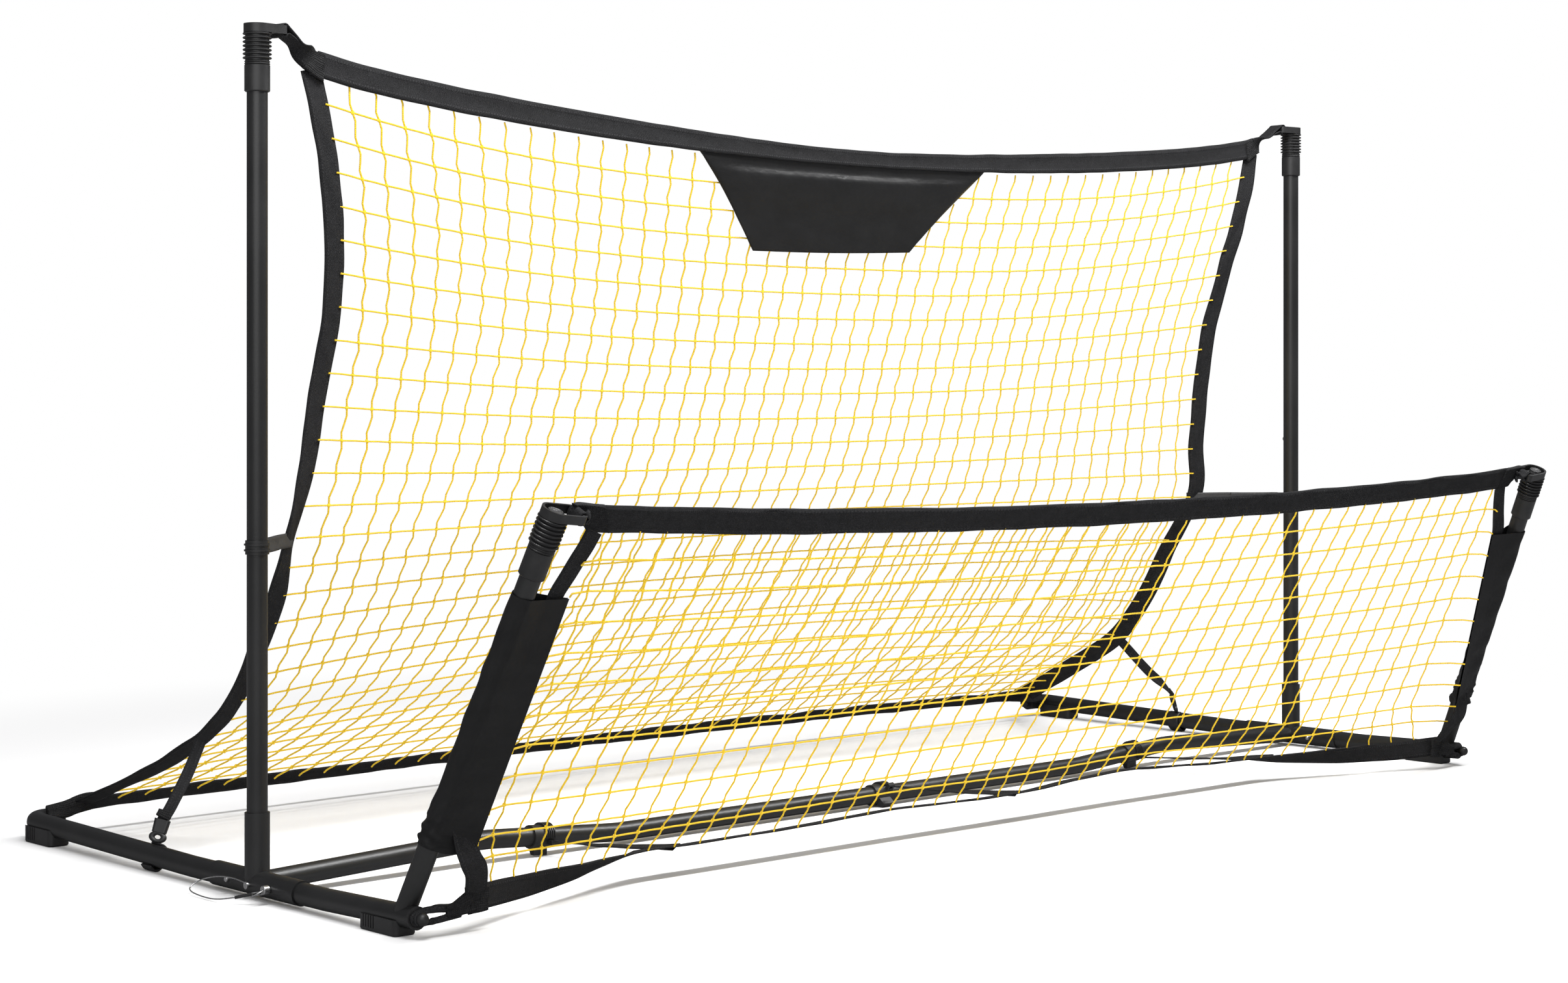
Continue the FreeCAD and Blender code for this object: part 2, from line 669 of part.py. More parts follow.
def net_panel(low, high, low_half, high_half, columns, rows):
    """One flat stretch of net, a single face with a grid of gaps, pushed out to the cord's thickness."""
    rise = (high - low).normalize()
    low = low + rise
    length = (high - low).Length - 1
    along = V(1, 0, 0)
    normal = along.cross(rise)

    def at(u, v):
        half = low_half + (high_half - low_half) * v
        return low + rise * (length * v) + along * (half * u) - normal * (net_t / 2)

    outline = Part.makePolygon([at(-1, 0), at(1, 0), at(1, 1), at(-1, 1), at(-1, 0)])
    holes = []
    du = 2 / columns
    dv = 1 / rows
    margin_v = net_cord_w / 2 / length
    for c in range(columns):
        for r in range(rows):
            margin_u = net_cord_w / 2 / (low_half + (high_half - low_half) * (r + 0.5) * dv)
            u0 = -1 + c * du + margin_u
            u1 = -1 + (c + 1) * du - margin_u
            v0 = r * dv + margin_v
            v1 = (r + 1) * dv - margin_v
            holes.append(Part.makePolygon([at(u0, v0), at(u1, v0), at(u1, v1), at(u0, v1), at(u0, v0)]))
    face = Part.Face([outline] + holes)
    return face.extrude(normal * net_t)


def swell_share(u):
    """How far the tall net swells back, from 0 at its sides to 1 in the middle."""
    return 1 - abs(u) ** 2.3


def net_line(bend, u):
    """A point of the tall net on one of its level bends, u from -1 at the left side to 1."""
    height, inward, back, swell = bend
    return tee_point(u * (half_span - inward), back + swell * swell_share(u), height)


def swelling_panel(lower, upper, u_left, u_right, columns, rows):
    """A stretch of the tall net between two bends: a curved sheet of cord thickness with a grid of gaps."""
    middle = (u_left + u_right) / 2
    rise = (net_line(upper, middle) - net_line(lower, middle)).normalize()
    normal = V(1, 0, 0).cross(rise).normalize()
    edges = []
    for bend, shift in ((lower, 0.6), (upper, -0.6)):
        steps = [u_left + 0.0006 + (u_right - u_left - 0.0012) * i / 6 for i in range(7)]
        curve = Part.BSplineCurve()
        curve.interpolate([net_line(bend, u) + rise * shift - normal * (net_t / 2) for u in steps])
        edges.append(curve.toShape())
    sheet = Part.makeRuledSurface(edges[0], edges[1]).extrude(normal * net_t)

    def at(u, v):
        spot = net_line(lower, u) * (1 - v) + net_line(upper, u) * v
        return spot - normal * ((spot - net_line(lower, middle)).dot(normal) + 200)

    gaps = []
    width = 2 * (half_span - lower[1])
    height = (net_line(upper, middle) - net_line(lower, middle)).Length
    for c in range(columns):
        for r in range(rows):
            u0 = u_left + (u_right - u_left) * c / columns + net_cord_w / width
            u1 = u_left + (u_right - u_left) * (c + 1) / columns - net_cord_w / width
            v0 = r / rows + net_cord_w / 2 / height
            v1 = (r + 1) / rows - net_cord_w / 2 / height
            gaps.append(prism([at(u0, v0), at(u1, v0), at(u1, v1), at(u0, v1)], normal * 400))
    return sheet.cut(Part.makeCompound(gaps))


def build_nets():
    """The tall net, swelling back between its side bands, and the sloping front net."""
    # height, distance in from the upright and behind it at the side, swell of the middle
    bends = [(944, 130, 20, 0), (712, 170, 62, 18), (432, 146, 118, 60), (240, 147, 225, 93),
             (140, 132, 355, 75), (54, 92, 535, 0)]
    rows = [4, 3, 3, 2, 3]
    panels = []
    for upper, lower, count in zip(bends, bends[1:], rows):
        for u_left, u_right, columns in ((-1, -0.5, 5), (-0.5, 0.5, 10), (0.5, 1, 5)):
            panels.append(swelling_panel(lower, upper, u_left, u_right, columns, count))
    nodes["main_net"] = Part.makeCompound(panels)
    top = front_point(0, front_band_mid_h - band_w / 2 - 2)
    bottom = tee_point(0, -262, 58)
    nodes["front_net"] = net_panel(bottom, top, 948.0, 912.0, 36, 8)


def net_patch():
    """Vinyl panel sewn in the middle under the top band."""
    net_top_z = 944.0
    slant = 0.2586
    high = 938.0
    low = 820.0

    def at(x, z):
        return tee_point(x, 20 + (net_top_z - z) * slant - net_t / 2 - 1.8, z)

    outline = [at(-294, high), at(294, high), at(154, low), at(-154, low)]
    return prism(outline, V(0, -1.6, 0))


def strap_between(a, b, across, width=web_w):
    return ribbon([a, b], [across, across], width, web_t)


def twisting_strap(a, b, across_a, across_b, width):
    """A short strap whose width turns from one direction to the other along its length."""
    steps = [i / 4 for i in range(5)]
    points = [a + (b - a) * t for t in steps]
    across = [across_a * (1 - t) + across_b * t for t in steps]
    return ribbon(points, across, width, web_t)


def corner_straps():
    """Webbing tabs from the net's corners to the swivel brackets, the rear plugs and the front knobs."""
    bands = [(tee_point(-band_corner_x - 4, 14, top_band_z(band_corner_x)), V(0, 0, 1)),
             (front_point(-front_corner_x - 3, front_band_h(front_corner_x)), V(0, -0.34, 0.94))]
    straps = []
    for (name, origin, up, ahead), (corner, across) in zip(cap_sets(), bands):
        bar = origin + V(up) * (cap_h + bracket_h / 2) + V(ahead).normalize() * (bracket_reach + 3.5)
        straps.append(twisting_strap(bar, corner, V(up).cross(ahead), across, web_w))
    plug = rail_point(rail_rear) + V(elbow_radius + elbow_stub + 12.6, 0, 2)
    straps.append(strap_between(plug, tee_point(-half_span + 60, 562, 41), V(0, 1, 0)))
    knob = rail_point(-rail_front) + V(9, -12, 4)
    straps.append(strap_between(knob, tee_point(-960, -341, 37), V(0, 0.5, 1), 20.0))
    return straps


def rail_strap():
    """Strap from a loop round the rear rail up to the side band: the pieces either side of its buckle."""
    across = V(0, 1, -0.2)
    loop = tube(rail_point(238), rail_point(260), rail_d + 5, rail_d + 0.6)
    low = rail_point(249) + V(10, 0, 15)
    high = tee_point(-half_span + 103, 300, 152)
    middle = low + (high - low) * 0.27
    upper = low + (high - low) * 0.50
    pieces = [loop, strap_between(low, middle, across, 22.0), strap_between(upper, high, across, 22.0)]
    buckle = ribbon([middle, upper], [across] * 2, 31.0, 5.0)
    heading = (upper - middle).normalize()
    for share in (0.30, 0.70):
        centre = middle + (upper - middle) * share
        slit = ribbon([centre - heading * 2.5, centre + heading * 2.5], [across] * 2, 23.0, 12.0)
        buckle = buckle.cut(slit)
    return pieces, buckle


def build_straps():
    straps = corner_straps()
    nodes["corner_straps"] = Part.makeCompound(straps + [mirrored(s) for s in straps])
    aim = V(math.cos(strap_clip_turn), math.sin(strap_clip_turn), 0)
    start = tee_point(-half_span, 0, strap_clip_z) + aim * 31.5
    side = tee_point(-half_span + 110, 110, strap_clip_z + 6)
    upright_strap = strap_between(start, side, V(0, 0, 1), 20.0)
    nodes["upright_straps"] = Part.makeCompound([upright_strap, mirrored(upright_strap)])
    pieces, buckle = rail_strap()
    nodes["rail_straps"] = Part.makeCompound(pieces + [mirrored(s) for s in pieces])
    nodes["rail_buckles"] = Part.makeCompound([buckle, mirrored(buckle)])
    nodes["foot_straps"] = Part.makeCompound(foot_straps())


def foot_straps():
    """Thin straps from the three crossbar clips forward to the front net's bottom band."""
    straps = []
    eyes = [(-clip_foot_x, 20), (clip_centre_x, 30), (clip_foot_x, 20)]
    for (clip_x, eye_z), hold in zip(eyes, bottom_band_points()[1:4]):
        start = tee_point(clip_x + 10, -27.5, eye_z)
        straps.append(ribbon([start, hold + V(0, 4, -2)], [V(1, 0, 0), V(1, 0, 0.4)], 14.0, web_t))
    return straps


def build_all():
    both_sides("rail_sleeve", rail_sleeve())
    both_sides("upright_socket", upright_socket())
    both_sides("crossbar_arm", crossbar_arm())
    nodes["crossbar_middle"] = crossbar_middle()
    both_sides("rear_rail", rear_rail())
    both_sides("front_rail", front_rail())
    feet = [rail_foot(rear_foot_back), rail_foot(front_foot_back)]
    nodes["rail_feet"] = Part.makeCompound(feet + [mirrored(f) for f in feet])
    both_sides("lower_upright", lower_upright())
    both_sides("upper_upright", upper_upright())
    both_sides("front_pole", front_pole())
    build_caps()
    both_sides("lock_pin", lock_pin())
    build_buttons()
    build_lanyard()
    knob = end_knob()
    nodes["front_rail_knobs"] = Part.makeCompound([knob, mirrored(knob)])
    plug = rear_plug()
    nodes["rear_rail_plugs"] = Part.makeCompound([plug, mirrored(plug)])
    both_sides("strap_clip", strap_clip())
    build_clip_feet()
    build_bands()
    both_sides("pole_sleeve", pole_sleeve())
    build_nets()
    nodes["net_patch"] = net_patch()
    build_straps()


build_all()
os.makedirs("parts", exist_ok=True)
extent = FreeCAD.BoundBox()
for name, shape in nodes.items():
    shape.exportStep("parts/" + name + ".step")
    extent.add(shape.BoundBox)
print(len(nodes), "nodes, box", extent)
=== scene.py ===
import bmesh
import bpy
import json
from math import cos, pi, radians, sin, tau
from mathutils import Matrix, Vector, noise


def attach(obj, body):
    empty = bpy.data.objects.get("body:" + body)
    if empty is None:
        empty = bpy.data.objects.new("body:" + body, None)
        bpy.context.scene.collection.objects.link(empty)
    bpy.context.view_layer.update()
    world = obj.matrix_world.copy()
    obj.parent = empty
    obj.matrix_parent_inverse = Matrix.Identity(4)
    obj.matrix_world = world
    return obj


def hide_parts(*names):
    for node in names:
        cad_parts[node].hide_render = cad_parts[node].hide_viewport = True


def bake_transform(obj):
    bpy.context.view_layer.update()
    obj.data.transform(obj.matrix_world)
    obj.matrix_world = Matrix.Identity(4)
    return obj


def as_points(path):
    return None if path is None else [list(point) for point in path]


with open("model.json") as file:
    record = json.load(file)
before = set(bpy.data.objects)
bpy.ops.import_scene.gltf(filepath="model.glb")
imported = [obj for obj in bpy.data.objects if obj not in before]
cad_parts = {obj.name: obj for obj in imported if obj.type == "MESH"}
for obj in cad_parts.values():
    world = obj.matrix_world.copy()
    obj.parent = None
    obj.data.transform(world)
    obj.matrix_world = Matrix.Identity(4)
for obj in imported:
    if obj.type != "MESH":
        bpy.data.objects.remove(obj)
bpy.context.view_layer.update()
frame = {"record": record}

# The camera stands 2.8 m to the left of the crossbar's middle, 2.9 m in front of it and 0.63 m up, and looks
# level along the diagonal. The lens is shifted, so that the rebounder fills the picture as in the photograph.
half_span = 1.030
tee_y = -0.0309
photo_width = 2412
photo_height = 1512
focal_pixels = 4233
horizon_row = 581.3
bpy.ops.object.select_all(action="DESELECT")
bpy.ops.object.camera_add(location=(-2.828, -2.895 + tee_y, 0.632), rotation=(pi / 2, 0, radians(-42.68)))
camera = bpy.context.object
camera.data.sensor_width = 36
camera.data.lens = focal_pixels / photo_width * camera.data.sensor_width
camera.data.shift_y = -(photo_height / 2 - horizon_row) / photo_width
camera.data.clip_end = 60
bpy.context.scene.camera = camera


# The frame is powder-coated steel tube, welded and pushed together. It keeps its exact shape, as the moulded
# fittings and the small metal parts do, and here they only take their finishes. Every finish is worked out
# from real distances in metres.
class Value:
    """A shader socket that takes plain arithmetic."""
    def __init__(self, tree, socket):
        self.tree = tree
        self.socket = socket

    def node(self, kind, inputs=None, output=0, **settings):
        made = self.tree.nodes.new(kind)
        for key, setting in settings.items():
            setattr(made, key, setting)
        for key, source in (inputs or {}).items():
            if isinstance(source, Value):
                self.tree.links.new(source.socket, made.inputs[key])
            else:
                made.inputs[key].default_value = source
        return Value(self.tree, made.outputs[output])

    def math(self, operation, *others):
        return self.node("ShaderNodeMath", dict(enumerate((self,) + others)), operation=operation)

    def __add__(self, other):
        return self.math("ADD", other)

    def __mul__(self, other):
        return self.math("MULTIPLY", other)

    def __sub__(self, other):
        return self.math("SUBTRACT", other)

    def __rsub__(self, other):
        return self.math("MULTIPLY", -1.0).math("ADD", other)

    __radd__ = __add__
    __rmul__ = __mul__

    def sine(self, period):
        return (self * (tau / period)).math("SINE")

    def step(self, low, high):
        """0 below low and 1 above high, smooth between."""
        return self.node("ShaderNodeMapRange", {"Value": self, "From Min": low, "From Max": high},
                         interpolation_type="SMOOTHSTEP")

    def blend(self, dark, light):
        """A colour between two, by this value."""
        ends = {0: self, 6: (*dark, 1), 7: (*light, 1)}
        return self.node("ShaderNodeMix", ends, output=2, data_type="RGBA")


class Finish:
    """A principled material, with the few values that its patterns start from."""
    def __init__(self, name):
        self.material = bpy.data.materials.new(name)
        self.material.use_nodes = True
        self.tree = self.material.node_tree
        self.shader = self.tree.nodes["Principled BSDF"]
        self.root = Value(self.tree, None)
        self.place = self.root.node("ShaderNodeTexCoord", output=3)
        uv = self.root.node("ShaderNodeTexCoord", output=2)
        self.across = uv.node("ShaderNodeSeparateXYZ", {0: uv}, 0)
        self.along = uv.node("ShaderNodeSeparateXYZ", {0: uv}, 1)

    def grain(self, size, detail=2.0, stretch=(1, 1, 1)):
        """Noise from 0 to 1 whose blobs are about size metres across."""
        seat = self.root.node("ShaderNodeMapping", {0: self.place, 3: stretch})
        return self.root.node("ShaderNodeTexNoise", {"Vector": seat, "Scale": 1 / size, "Detail": detail})

    def axis(self, index):
        return self.root.node("ShaderNodeSeparateXYZ", {0: self.place}, index)

    def set(self, **values):
        for key, value in values.items():
            socket = self.shader.inputs[key.replace("_", " ")]
            if isinstance(value, Value):
                self.tree.links.new(value.socket, socket)
            else:
                socket.default_value = value

    def bump(self, height, depth):
        """Relief of the given depth in metres."""
        self.set(Normal=self.root.node("ShaderNodeBump", {"Height": height, "Distance": depth}))


# Steel tube in satin black powder coat: a fine orange peel, a little dust, slightly rubbed in patches.
powder = Finish("powder_coat")
peel = powder.grain(0.0016, 3)
rub = powder.grain(0.09, 4)
powder.set(Base_Color=rub.step(0.35, 0.75).blend((0.006, 0.0063, 0.0065), (0.010, 0.0103, 0.0106)),
           Roughness=0.33 + rub * 0.10, Specular_IOR_Level=0.75)
powder.bump(peel, 0.00012)

# Moulded nylon for caps, brackets, clips, feet and buckles: deep black with a spark-eroded texture.
plastic = Finish("moulded_plastic")
spark = plastic.grain(0.0007, 2)
cloud = plastic.grain(0.03, 3)
plastic.set(Base_Color=cloud.step(0.3, 0.8).blend((0.009, 0.009, 0.0095), (0.016, 0.016, 0.0165)),
            Roughness=0.34 + cloud * 0.15, Specular_IOR_Level=0.6)
plastic.bump(spark, 0.00008)

# Bright zinc-plated steel for pins, buttons, rings, studs and the safety wire.
zinc = Finish("bright_zinc")
streak = zinc.grain(0.0012, 3, (1, 4, 1))
zinc.set(Base_Color=streak.blend((0.52, 0.52, 0.53), (0.78, 0.78, 0.77)), Metallic=1.0,
         Roughness=0.20 + streak * 0.18)
zinc.bump(streak, 0.00004)

# Dark drive-head studs on the caps: blackened steel with a duller face.
stud_steel = Finish("blackened_stud")
turned = stud_steel.grain(0.0008, 2)
stud_steel.set(Base_Color=turned.blend((0.05, 0.05, 0.052), (0.12, 0.12, 0.12)), Metallic=0.7,
               Roughness=0.38 + turned * 0.15)
stud_steel.bump(turned, 0.00005)

# Golden polyester twine: two plies laid round each other. The knots take a lighter copy of this colour, which
# is a painted highlight.
twine = Finish("gold_twine")
ply = (twine.axis(0) + twine.axis(1) * 0.7 + twine.axis(2)).sine(0.0022)
fuzz = twine.grain(0.004, 3)
twine.set(Base_Color=(fuzz * 0.7 + ply * 0.15 + 0.15).blend((0.60, 0.385, 0.006), (0.90, 0.60, 0.018)),
          Roughness=0.62, Sheen_Weight=0.1, Specular_IOR_Level=0.25)
twine.bump(ply * 0.5 + fuzz * 0.5, 0.0004)

# Woven tape: fine cross ribs, with a row of stitches 4 mm in from each edge. Its UV is in metres,
# the distance from the nearer edge and the distance along the tape.
webbing = Finish("woven_tape")
ribs = webbing.along.sine(0.0016) * webbing.across.sine(0.0024)
lint = webbing.grain(0.012, 4)
speck = webbing.grain(0.0011, 2)
off_seam = (webbing.across - 0.004).math("ABSOLUTE").step(0.0006, 0.0012)
dash = webbing.along.sine(0.0044).step(-0.35, -0.05)
stitch = (1 - off_seam) * dash
shade = speck.step(0.42, 0.68) * 0.55 + lint * 0.35 + ribs * 0.1 + stitch * 0.25
webbing.set(Base_Color=shade.blend((0.004, 0.004, 0.0045), (0.026, 0.026, 0.028)),
            Roughness=0.78 - stitch * 0.15, Specular_IOR_Level=0.22)
webbing.bump(ribs * 0.35 + lint * 0.5 + speck * 0.35 + stitch * 0.9, 0.0005)

# Glossy black vinyl of the sewn panel: soft dents and pulled wrinkles under a smooth skin. Its colour is
# darker in the dents, which is painted shade.
vinyl = Finish("glossy_vinyl")
dent_and_shade = vinyl.grain(0.05, 3, (1, 1, 1.8))
pore = vinyl.grain(0.0012, 2)
vinyl.set(Base_Color=dent_and_shade.blend((0.003, 0.003, 0.0032), (0.008, 0.008, 0.0085)), Roughness=0.36 + dent_and_shade * 0.12,
          Specular_IOR_Level=0.5, Coat_Weight=0.08, Coat_Roughness=0.25)
vinyl.bump(dent_and_shade + pore * 0.03, 0.0022)


# Each node of the frame takes the finish of its slot, and the studs their own darker one.
finishes = {"black_tube": powder, "black_plastic": plastic, "bright_steel": zinc, "gold_cord": twine,
            "vinyl": vinyl, "black_webbing": webbing}
slots = {part["node"]: part["material_slot"] for part in frame["record"]["subparts"]}
for node, slot in slots.items():
    piece = bpy.data.objects[node]
    finish = stud_steel if node == "swivel_studs" else finishes[slot]
    for material_slot in piece.material_slots:
        material_slot.material = finish.material


# A zinc-plated steel wire keeps each pull pin from getting lost. It loops from a rivet on the rail to the
# pin, where it is pressed into a dark sleeve, and two short legs go on to the pin's ring.
def behind(x, back, z):
    """A point at a distance behind the plane of the two uprights."""
    return Vector((x, tee_y + back, z))


def wire(name, points, thick, finish):
    """A round wire along a smooth line through the control points, and the points of that line."""
    data = bpy.data.curves.new(name, "CURVE")
    data.dimensions = "3D"
    data.resolution_u = 12
    line = data.splines.new("NURBS")
    line.points.add(len(points) - 1)
    for knob, spot in zip(line.points, points):
        knob.co = (*spot, 1)
    line.order_u = 3
    line.use_endpoint_u = True
    piece = bpy.data.objects.new(name, data)
    bpy.context.collection.objects.link(piece)
    bare = bpy.data.meshes.new_from_object(piece)
    path = [vertex.co.copy() for vertex in bare.vertices]
    data.bevel_depth = thick / 2
    data.bevel_resolution = 3
    data.use_fill_caps = True
    data.materials.append(finish.material)
    bpy.ops.object.select_all(action="DESELECT")
    piece.select_set(True)
    bpy.context.view_layer.objects.active = piece
    bpy.ops.object.convert(target="MESH")
    piece = bpy.context.object
    bpy.ops.object.shade_smooth()
    return piece, path


lanyard_thick = 0.0016
leg_thick = 0.0015
crimp_thick = 0.0040
lanyard_route = [behind(x - half_span, back, z) for x, back, z in (
    (-0.0166, -0.0009, 0.0195), (-0.0176, 0.0090, 0.0215), (-0.0205, 0.0280, 0.0235),
    (-0.0252, 0.0500, 0.0225), (-0.0295, 0.0680, 0.0185), (-0.0338, 0.0775, 0.0149),
    (-0.0405, 0.0814, 0.0104), (-0.0481, 0.0781, 0.0068), (-0.0514, 0.0680, 0.0046),
    (-0.0530, 0.0540, 0.0036), (-0.0532, 0.0380, 0.0028), (-0.0528, 0.0210, 0.0026),
    (-0.0512, 0.0050, 0.0038), (-0.0478, -0.0095, 0.0062), (-0.0425, -0.0210, 0.0086))]
lanyard, lanyard_path = wire("lanyard_cord_left", lanyard_route, lanyard_thick, zinc)
crimp_start = lanyard_route[-1]
crimp_way = Vector((0.0134, -0.0160, 0.0046)).normalized()
crimp_end = crimp_start + crimp_way * 0.0205
crimp_line = [crimp_start - crimp_way * 0.0012, crimp_start + crimp_way * 0.010, crimp_end]
crimp = wire("lanyard_sleeve_left", crimp_line, crimp_thick, plastic)[0]
ring_at = behind(-half_span - 0.0215, -0.0505, 0.0150)
lanyard_legs = []
for name, lift in (("upper", 0.0012), ("lower", -0.0012)):
    leg_line = [crimp_end + Vector((0, 0, lift)) - crimp_way * 0.002,
                crimp_end.lerp(ring_at, 0.5) + Vector((0, 0, lift * 1.8)), ring_at + Vector((0, 0, lift))]
    lanyard_legs.append(wire("lanyard_leg_left_" + name, leg_line, leg_thick, zinc)[0])
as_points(lanyard_path)
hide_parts("lanyard_wire")
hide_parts("lanyard_crimp")
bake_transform(lanyard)
for piece in [crimp] + lanyard_legs:
    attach(piece, "lock_pin_left")

# The tall net is knotted from golden polyester twine. It hangs from the uprights, curves back and runs down
# to the rear corners. Its sides are drawn inward and its middle bulges further back, and both lines were
# read from the photograph.
def smooth(points, t):
    """The point at share t of a smooth line through the given points, which are evenly spaced in t."""
    spot = min(max(t, 0.0), 1.0) * (len(points) - 1)
    i = min(int(spot), len(points) - 2)
    f = spot - i
    before = points[i - 1] if i > 0 else points[0] * 2 - points[1]
    after = points[i + 2] if i + 2 < len(points) else points[-1] * 2 - points[-2]
    a, b = points[i], points[i + 1]
    return (a * 2 + (b - before) * f + (before * 2 - a * 5 + b * 4 - after) * f * f
            + (a * 3 - before - b * 3 + after) * f * f * f) / 2


def even(points, count):
    """The same line through count points that lie equally far apart."""
    fine = [smooth(points, i / 400) for i in range(401)]
    run = [0.0]
    for a, b in zip(fine, fine[1:]):
        run.append(run[-1] + (b - a).length)
    picked = []
    j = 0
    for i in range(count):
        goal = run[-1] * i / (count - 1)
        while j < 399 and run[j + 1] < goal:
            j += 1
        share = (goal - run[j]) / max(run[j + 1] - run[j], 1e-9)
        picked.append(fine[j].lerp(fine[j + 1], min(max(share, 0.0), 1.0)))
    return picked


side_shape = ((0.0885, 0.0180, 1.016), (0.103, 0.017, 0.955), (0.121, 0.025, 0.884), (0.135, 0.038, 0.812),
              (0.147, 0.061, 0.714), (0.142, 0.084, 0.615), (0.134, 0.099, 0.515), (0.120, 0.114, 0.432),
              (0.127, 0.170, 0.331), (0.124, 0.231, 0.235), (0.119, 0.301, 0.167), (0.104, 0.419, 0.105),
              (0.066, 0.552, 0.047))
side_line = even([behind(-half_span + inward, back, z) for inward, back, z in side_shape], 57)
middle_line = even([behind(0, back, z) for back, z in (
    (0.020, 0.944), (0.062, 0.780), (0.097, 0.650), (0.138, 0.517), (0.177, 0.435), (0.244, 0.331),
    (0.322, 0.235), (0.395, 0.167), (0.478, 0.105), (0.556, 0.050))], 57)
side_band_width = 0.030
hem_height = 0.944
panel_foot = 0.8185
panel_low_half = 0.1575
panel_high_half = 0.297


def tall_net(u, v):
    """A point of the tall net: u from -1 at its left edge to 1, v from 0 at the top band to 1."""
    edge = smooth(side_line, v)
    middle = smooth(middle_line, v)
    belly = 1 - abs(u) ** (2.9 - min(v * 2.4, 0.7))
    reach = -edge.x - side_band_width * 0.35
    return Vector((u * reach, edge.y + (middle.y - edge.y) * belly, edge.z + (middle.z - edge.z) * belly))


def strand(surface, u, v_start, v_end, cells, sway, seed):
    """A cord down the net: it kinks to one side under each knot and back to the other above the next."""
    line = []
    for i in range(cells * 4 + 1):
        t = i / (cells * 4)
        cell = i / 4
        wobble = sin(tau * cell) * (1 + 0.5 * noise.noise(Vector((seed * 3.1, cell * 0.9, 0))))
        drift = noise.noise(Vector((seed * 1.7, cell * 0.4, 5))) * 0.0022
        spot = surface(u, v_start + (v_end - v_start) * t)
        line.append(spot + Vector((wobble * sway + drift, 0, 0)))
    return line


def row(surface, v, columns, slack, seed):
    """A cord across the net, drawn down a little at each knot."""
    line = []
    for i in range(columns * 2 + 1):
        u = -1 + i / columns
        sag = slack * (0.6 + 0.5 * noise.noise(Vector((u * 9, seed * 2.3, 1)))) if i % 2 == 0 else 0
        line.append(surface(u, v) - Vector((0, 0, sag)))
    return line


def panel_hides(spot):
    """Whether a point of the tall net lies well behind the vinyl panel, where the net is cut away."""
    rise = (spot.z - panel_foot) / (hem_height - panel_foot)
    half = panel_low_half + (panel_high_half - panel_low_half) * rise
    return rise > 0.03 and abs(spot.x + 0.0145) < half - 0.006


def outside_panel(line):
    """The runs of a cord that show beside the panel; each goes on to its first point behind the panel."""
    runs = [[]]
    for here, ahead in zip(line, line[1:] + line[-1:]):
        if not panel_hides(here):
            runs[-1].append(here)
        else:
            if runs[-1]:
                runs[-1].append(here)
                runs.append([])
            if not panel_hides(ahead):
                runs[-1].append(here)
    return [run for run in runs if len(run) > 1]


# The knots are the same twine in a lighter colour: a painted highlight for the light that the lumps catch.
lit_knot_twine = Finish("gold_knots_lit")
knot_fuzz = lit_knot_twine.grain(0.0018, 3)
lit_knot_twine.set(Base_Color=knot_fuzz.blend((0.66, 0.42, 0.006), (0.94, 0.65, 0.022)), Roughness=0.65,
               Sheen_Weight=0.1, Specular_IOR_Level=0.25)
lit_knot_twine.bump(knot_fuzz, 0.0006)


def cords(name, lines, thickness):
    """Round cords along the lines, joined into one mesh."""
    curve = bpy.data.curves.new(name, "CURVE")
    curve.dimensions = "3D"
    curve.bevel_depth = thickness / 2
    curve.bevel_resolution = 1
    curve.use_fill_caps = True
    for line in lines:
        spline = curve.splines.new("POLY")
        spline.points.add(len(line) - 1)
        for point, spot in zip(spline.points, line):
            point.co = (*spot, 1)
    bundle = bpy.data.objects.new(name, curve)
    bpy.context.collection.objects.link(bundle)
    bpy.ops.object.select_all(action="DESELECT")
    bundle.select_set(True)
    bpy.context.view_layer.objects.active = bundle
    bpy.ops.object.convert(target="MESH")
    bpy.ops.object.shade_smooth()
    bundle = bpy.context.object
    bundle.data.materials.clear()
    bundle.data.materials.append(twine.material)
    return bundle


def knots(name, spots, size):
    """A small lump of twine at each crossing, each one a turned and stretched copy of the same ball."""
    bpy.ops.object.select_all(action="DESELECT")
    bpy.ops.mesh.primitive_uv_sphere_add(segments=6, ring_count=5, radius=size / 2)
    ball = bpy.context.object
    corners = [v.co.copy() for v in ball.data.vertices]
    sides = [tuple(face.vertices) for face in ball.data.polygons]
    vertices = []
    faces = []
    for spot in spots:
        spin = noise.noise(spot * 40)
        shape = (Matrix.Translation(spot) @ Matrix.Rotation(spin * 3, 4, "Y")
                 @ Matrix.Diagonal((1.0 + spin * 0.3, 0.8, 1.25 - spin * 0.2, 1)))
        first = len(vertices)
        vertices += [shape @ corner for corner in corners]
        faces += [[first + i for i in side] for side in sides]
    mesh = bpy.data.meshes.new(name)
    mesh.from_pydata(vertices, [], faces)
    mesh.materials.append(lit_knot_twine.material)
    ball.data = mesh
    ball.name = name
    bpy.ops.object.shade_smooth()
    return ball


tall_columns = 45
tall_rows = 28
tall_cord_thick = 0.0025
tall_knot_size = 0.0050
tall_lines = [strand(tall_net, -1 + 2 * k / tall_columns, 0, 1, tall_rows, 0.0021, k)
              for k in range(1, tall_columns)]
tall_spots = [line[4 * j] for line in tall_lines for j in range(1, tall_rows)]
for j in range(1, tall_rows):
    tall_lines.append(row(tall_net, j / tall_rows, tall_columns, 0.0006, j))
tall_lines = [run for line in tall_lines for run in outside_panel(line)]
tall_spots = [spot for spot in tall_spots if not panel_hides(spot)]
tall_cords = cords("tall_net_cords", tall_lines, tall_cord_thick)
tall_knots = knots("tall_net_knots", tall_spots, tall_knot_size)
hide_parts("main_net")
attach(tall_cords, "frame")
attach(tall_knots, "frame")


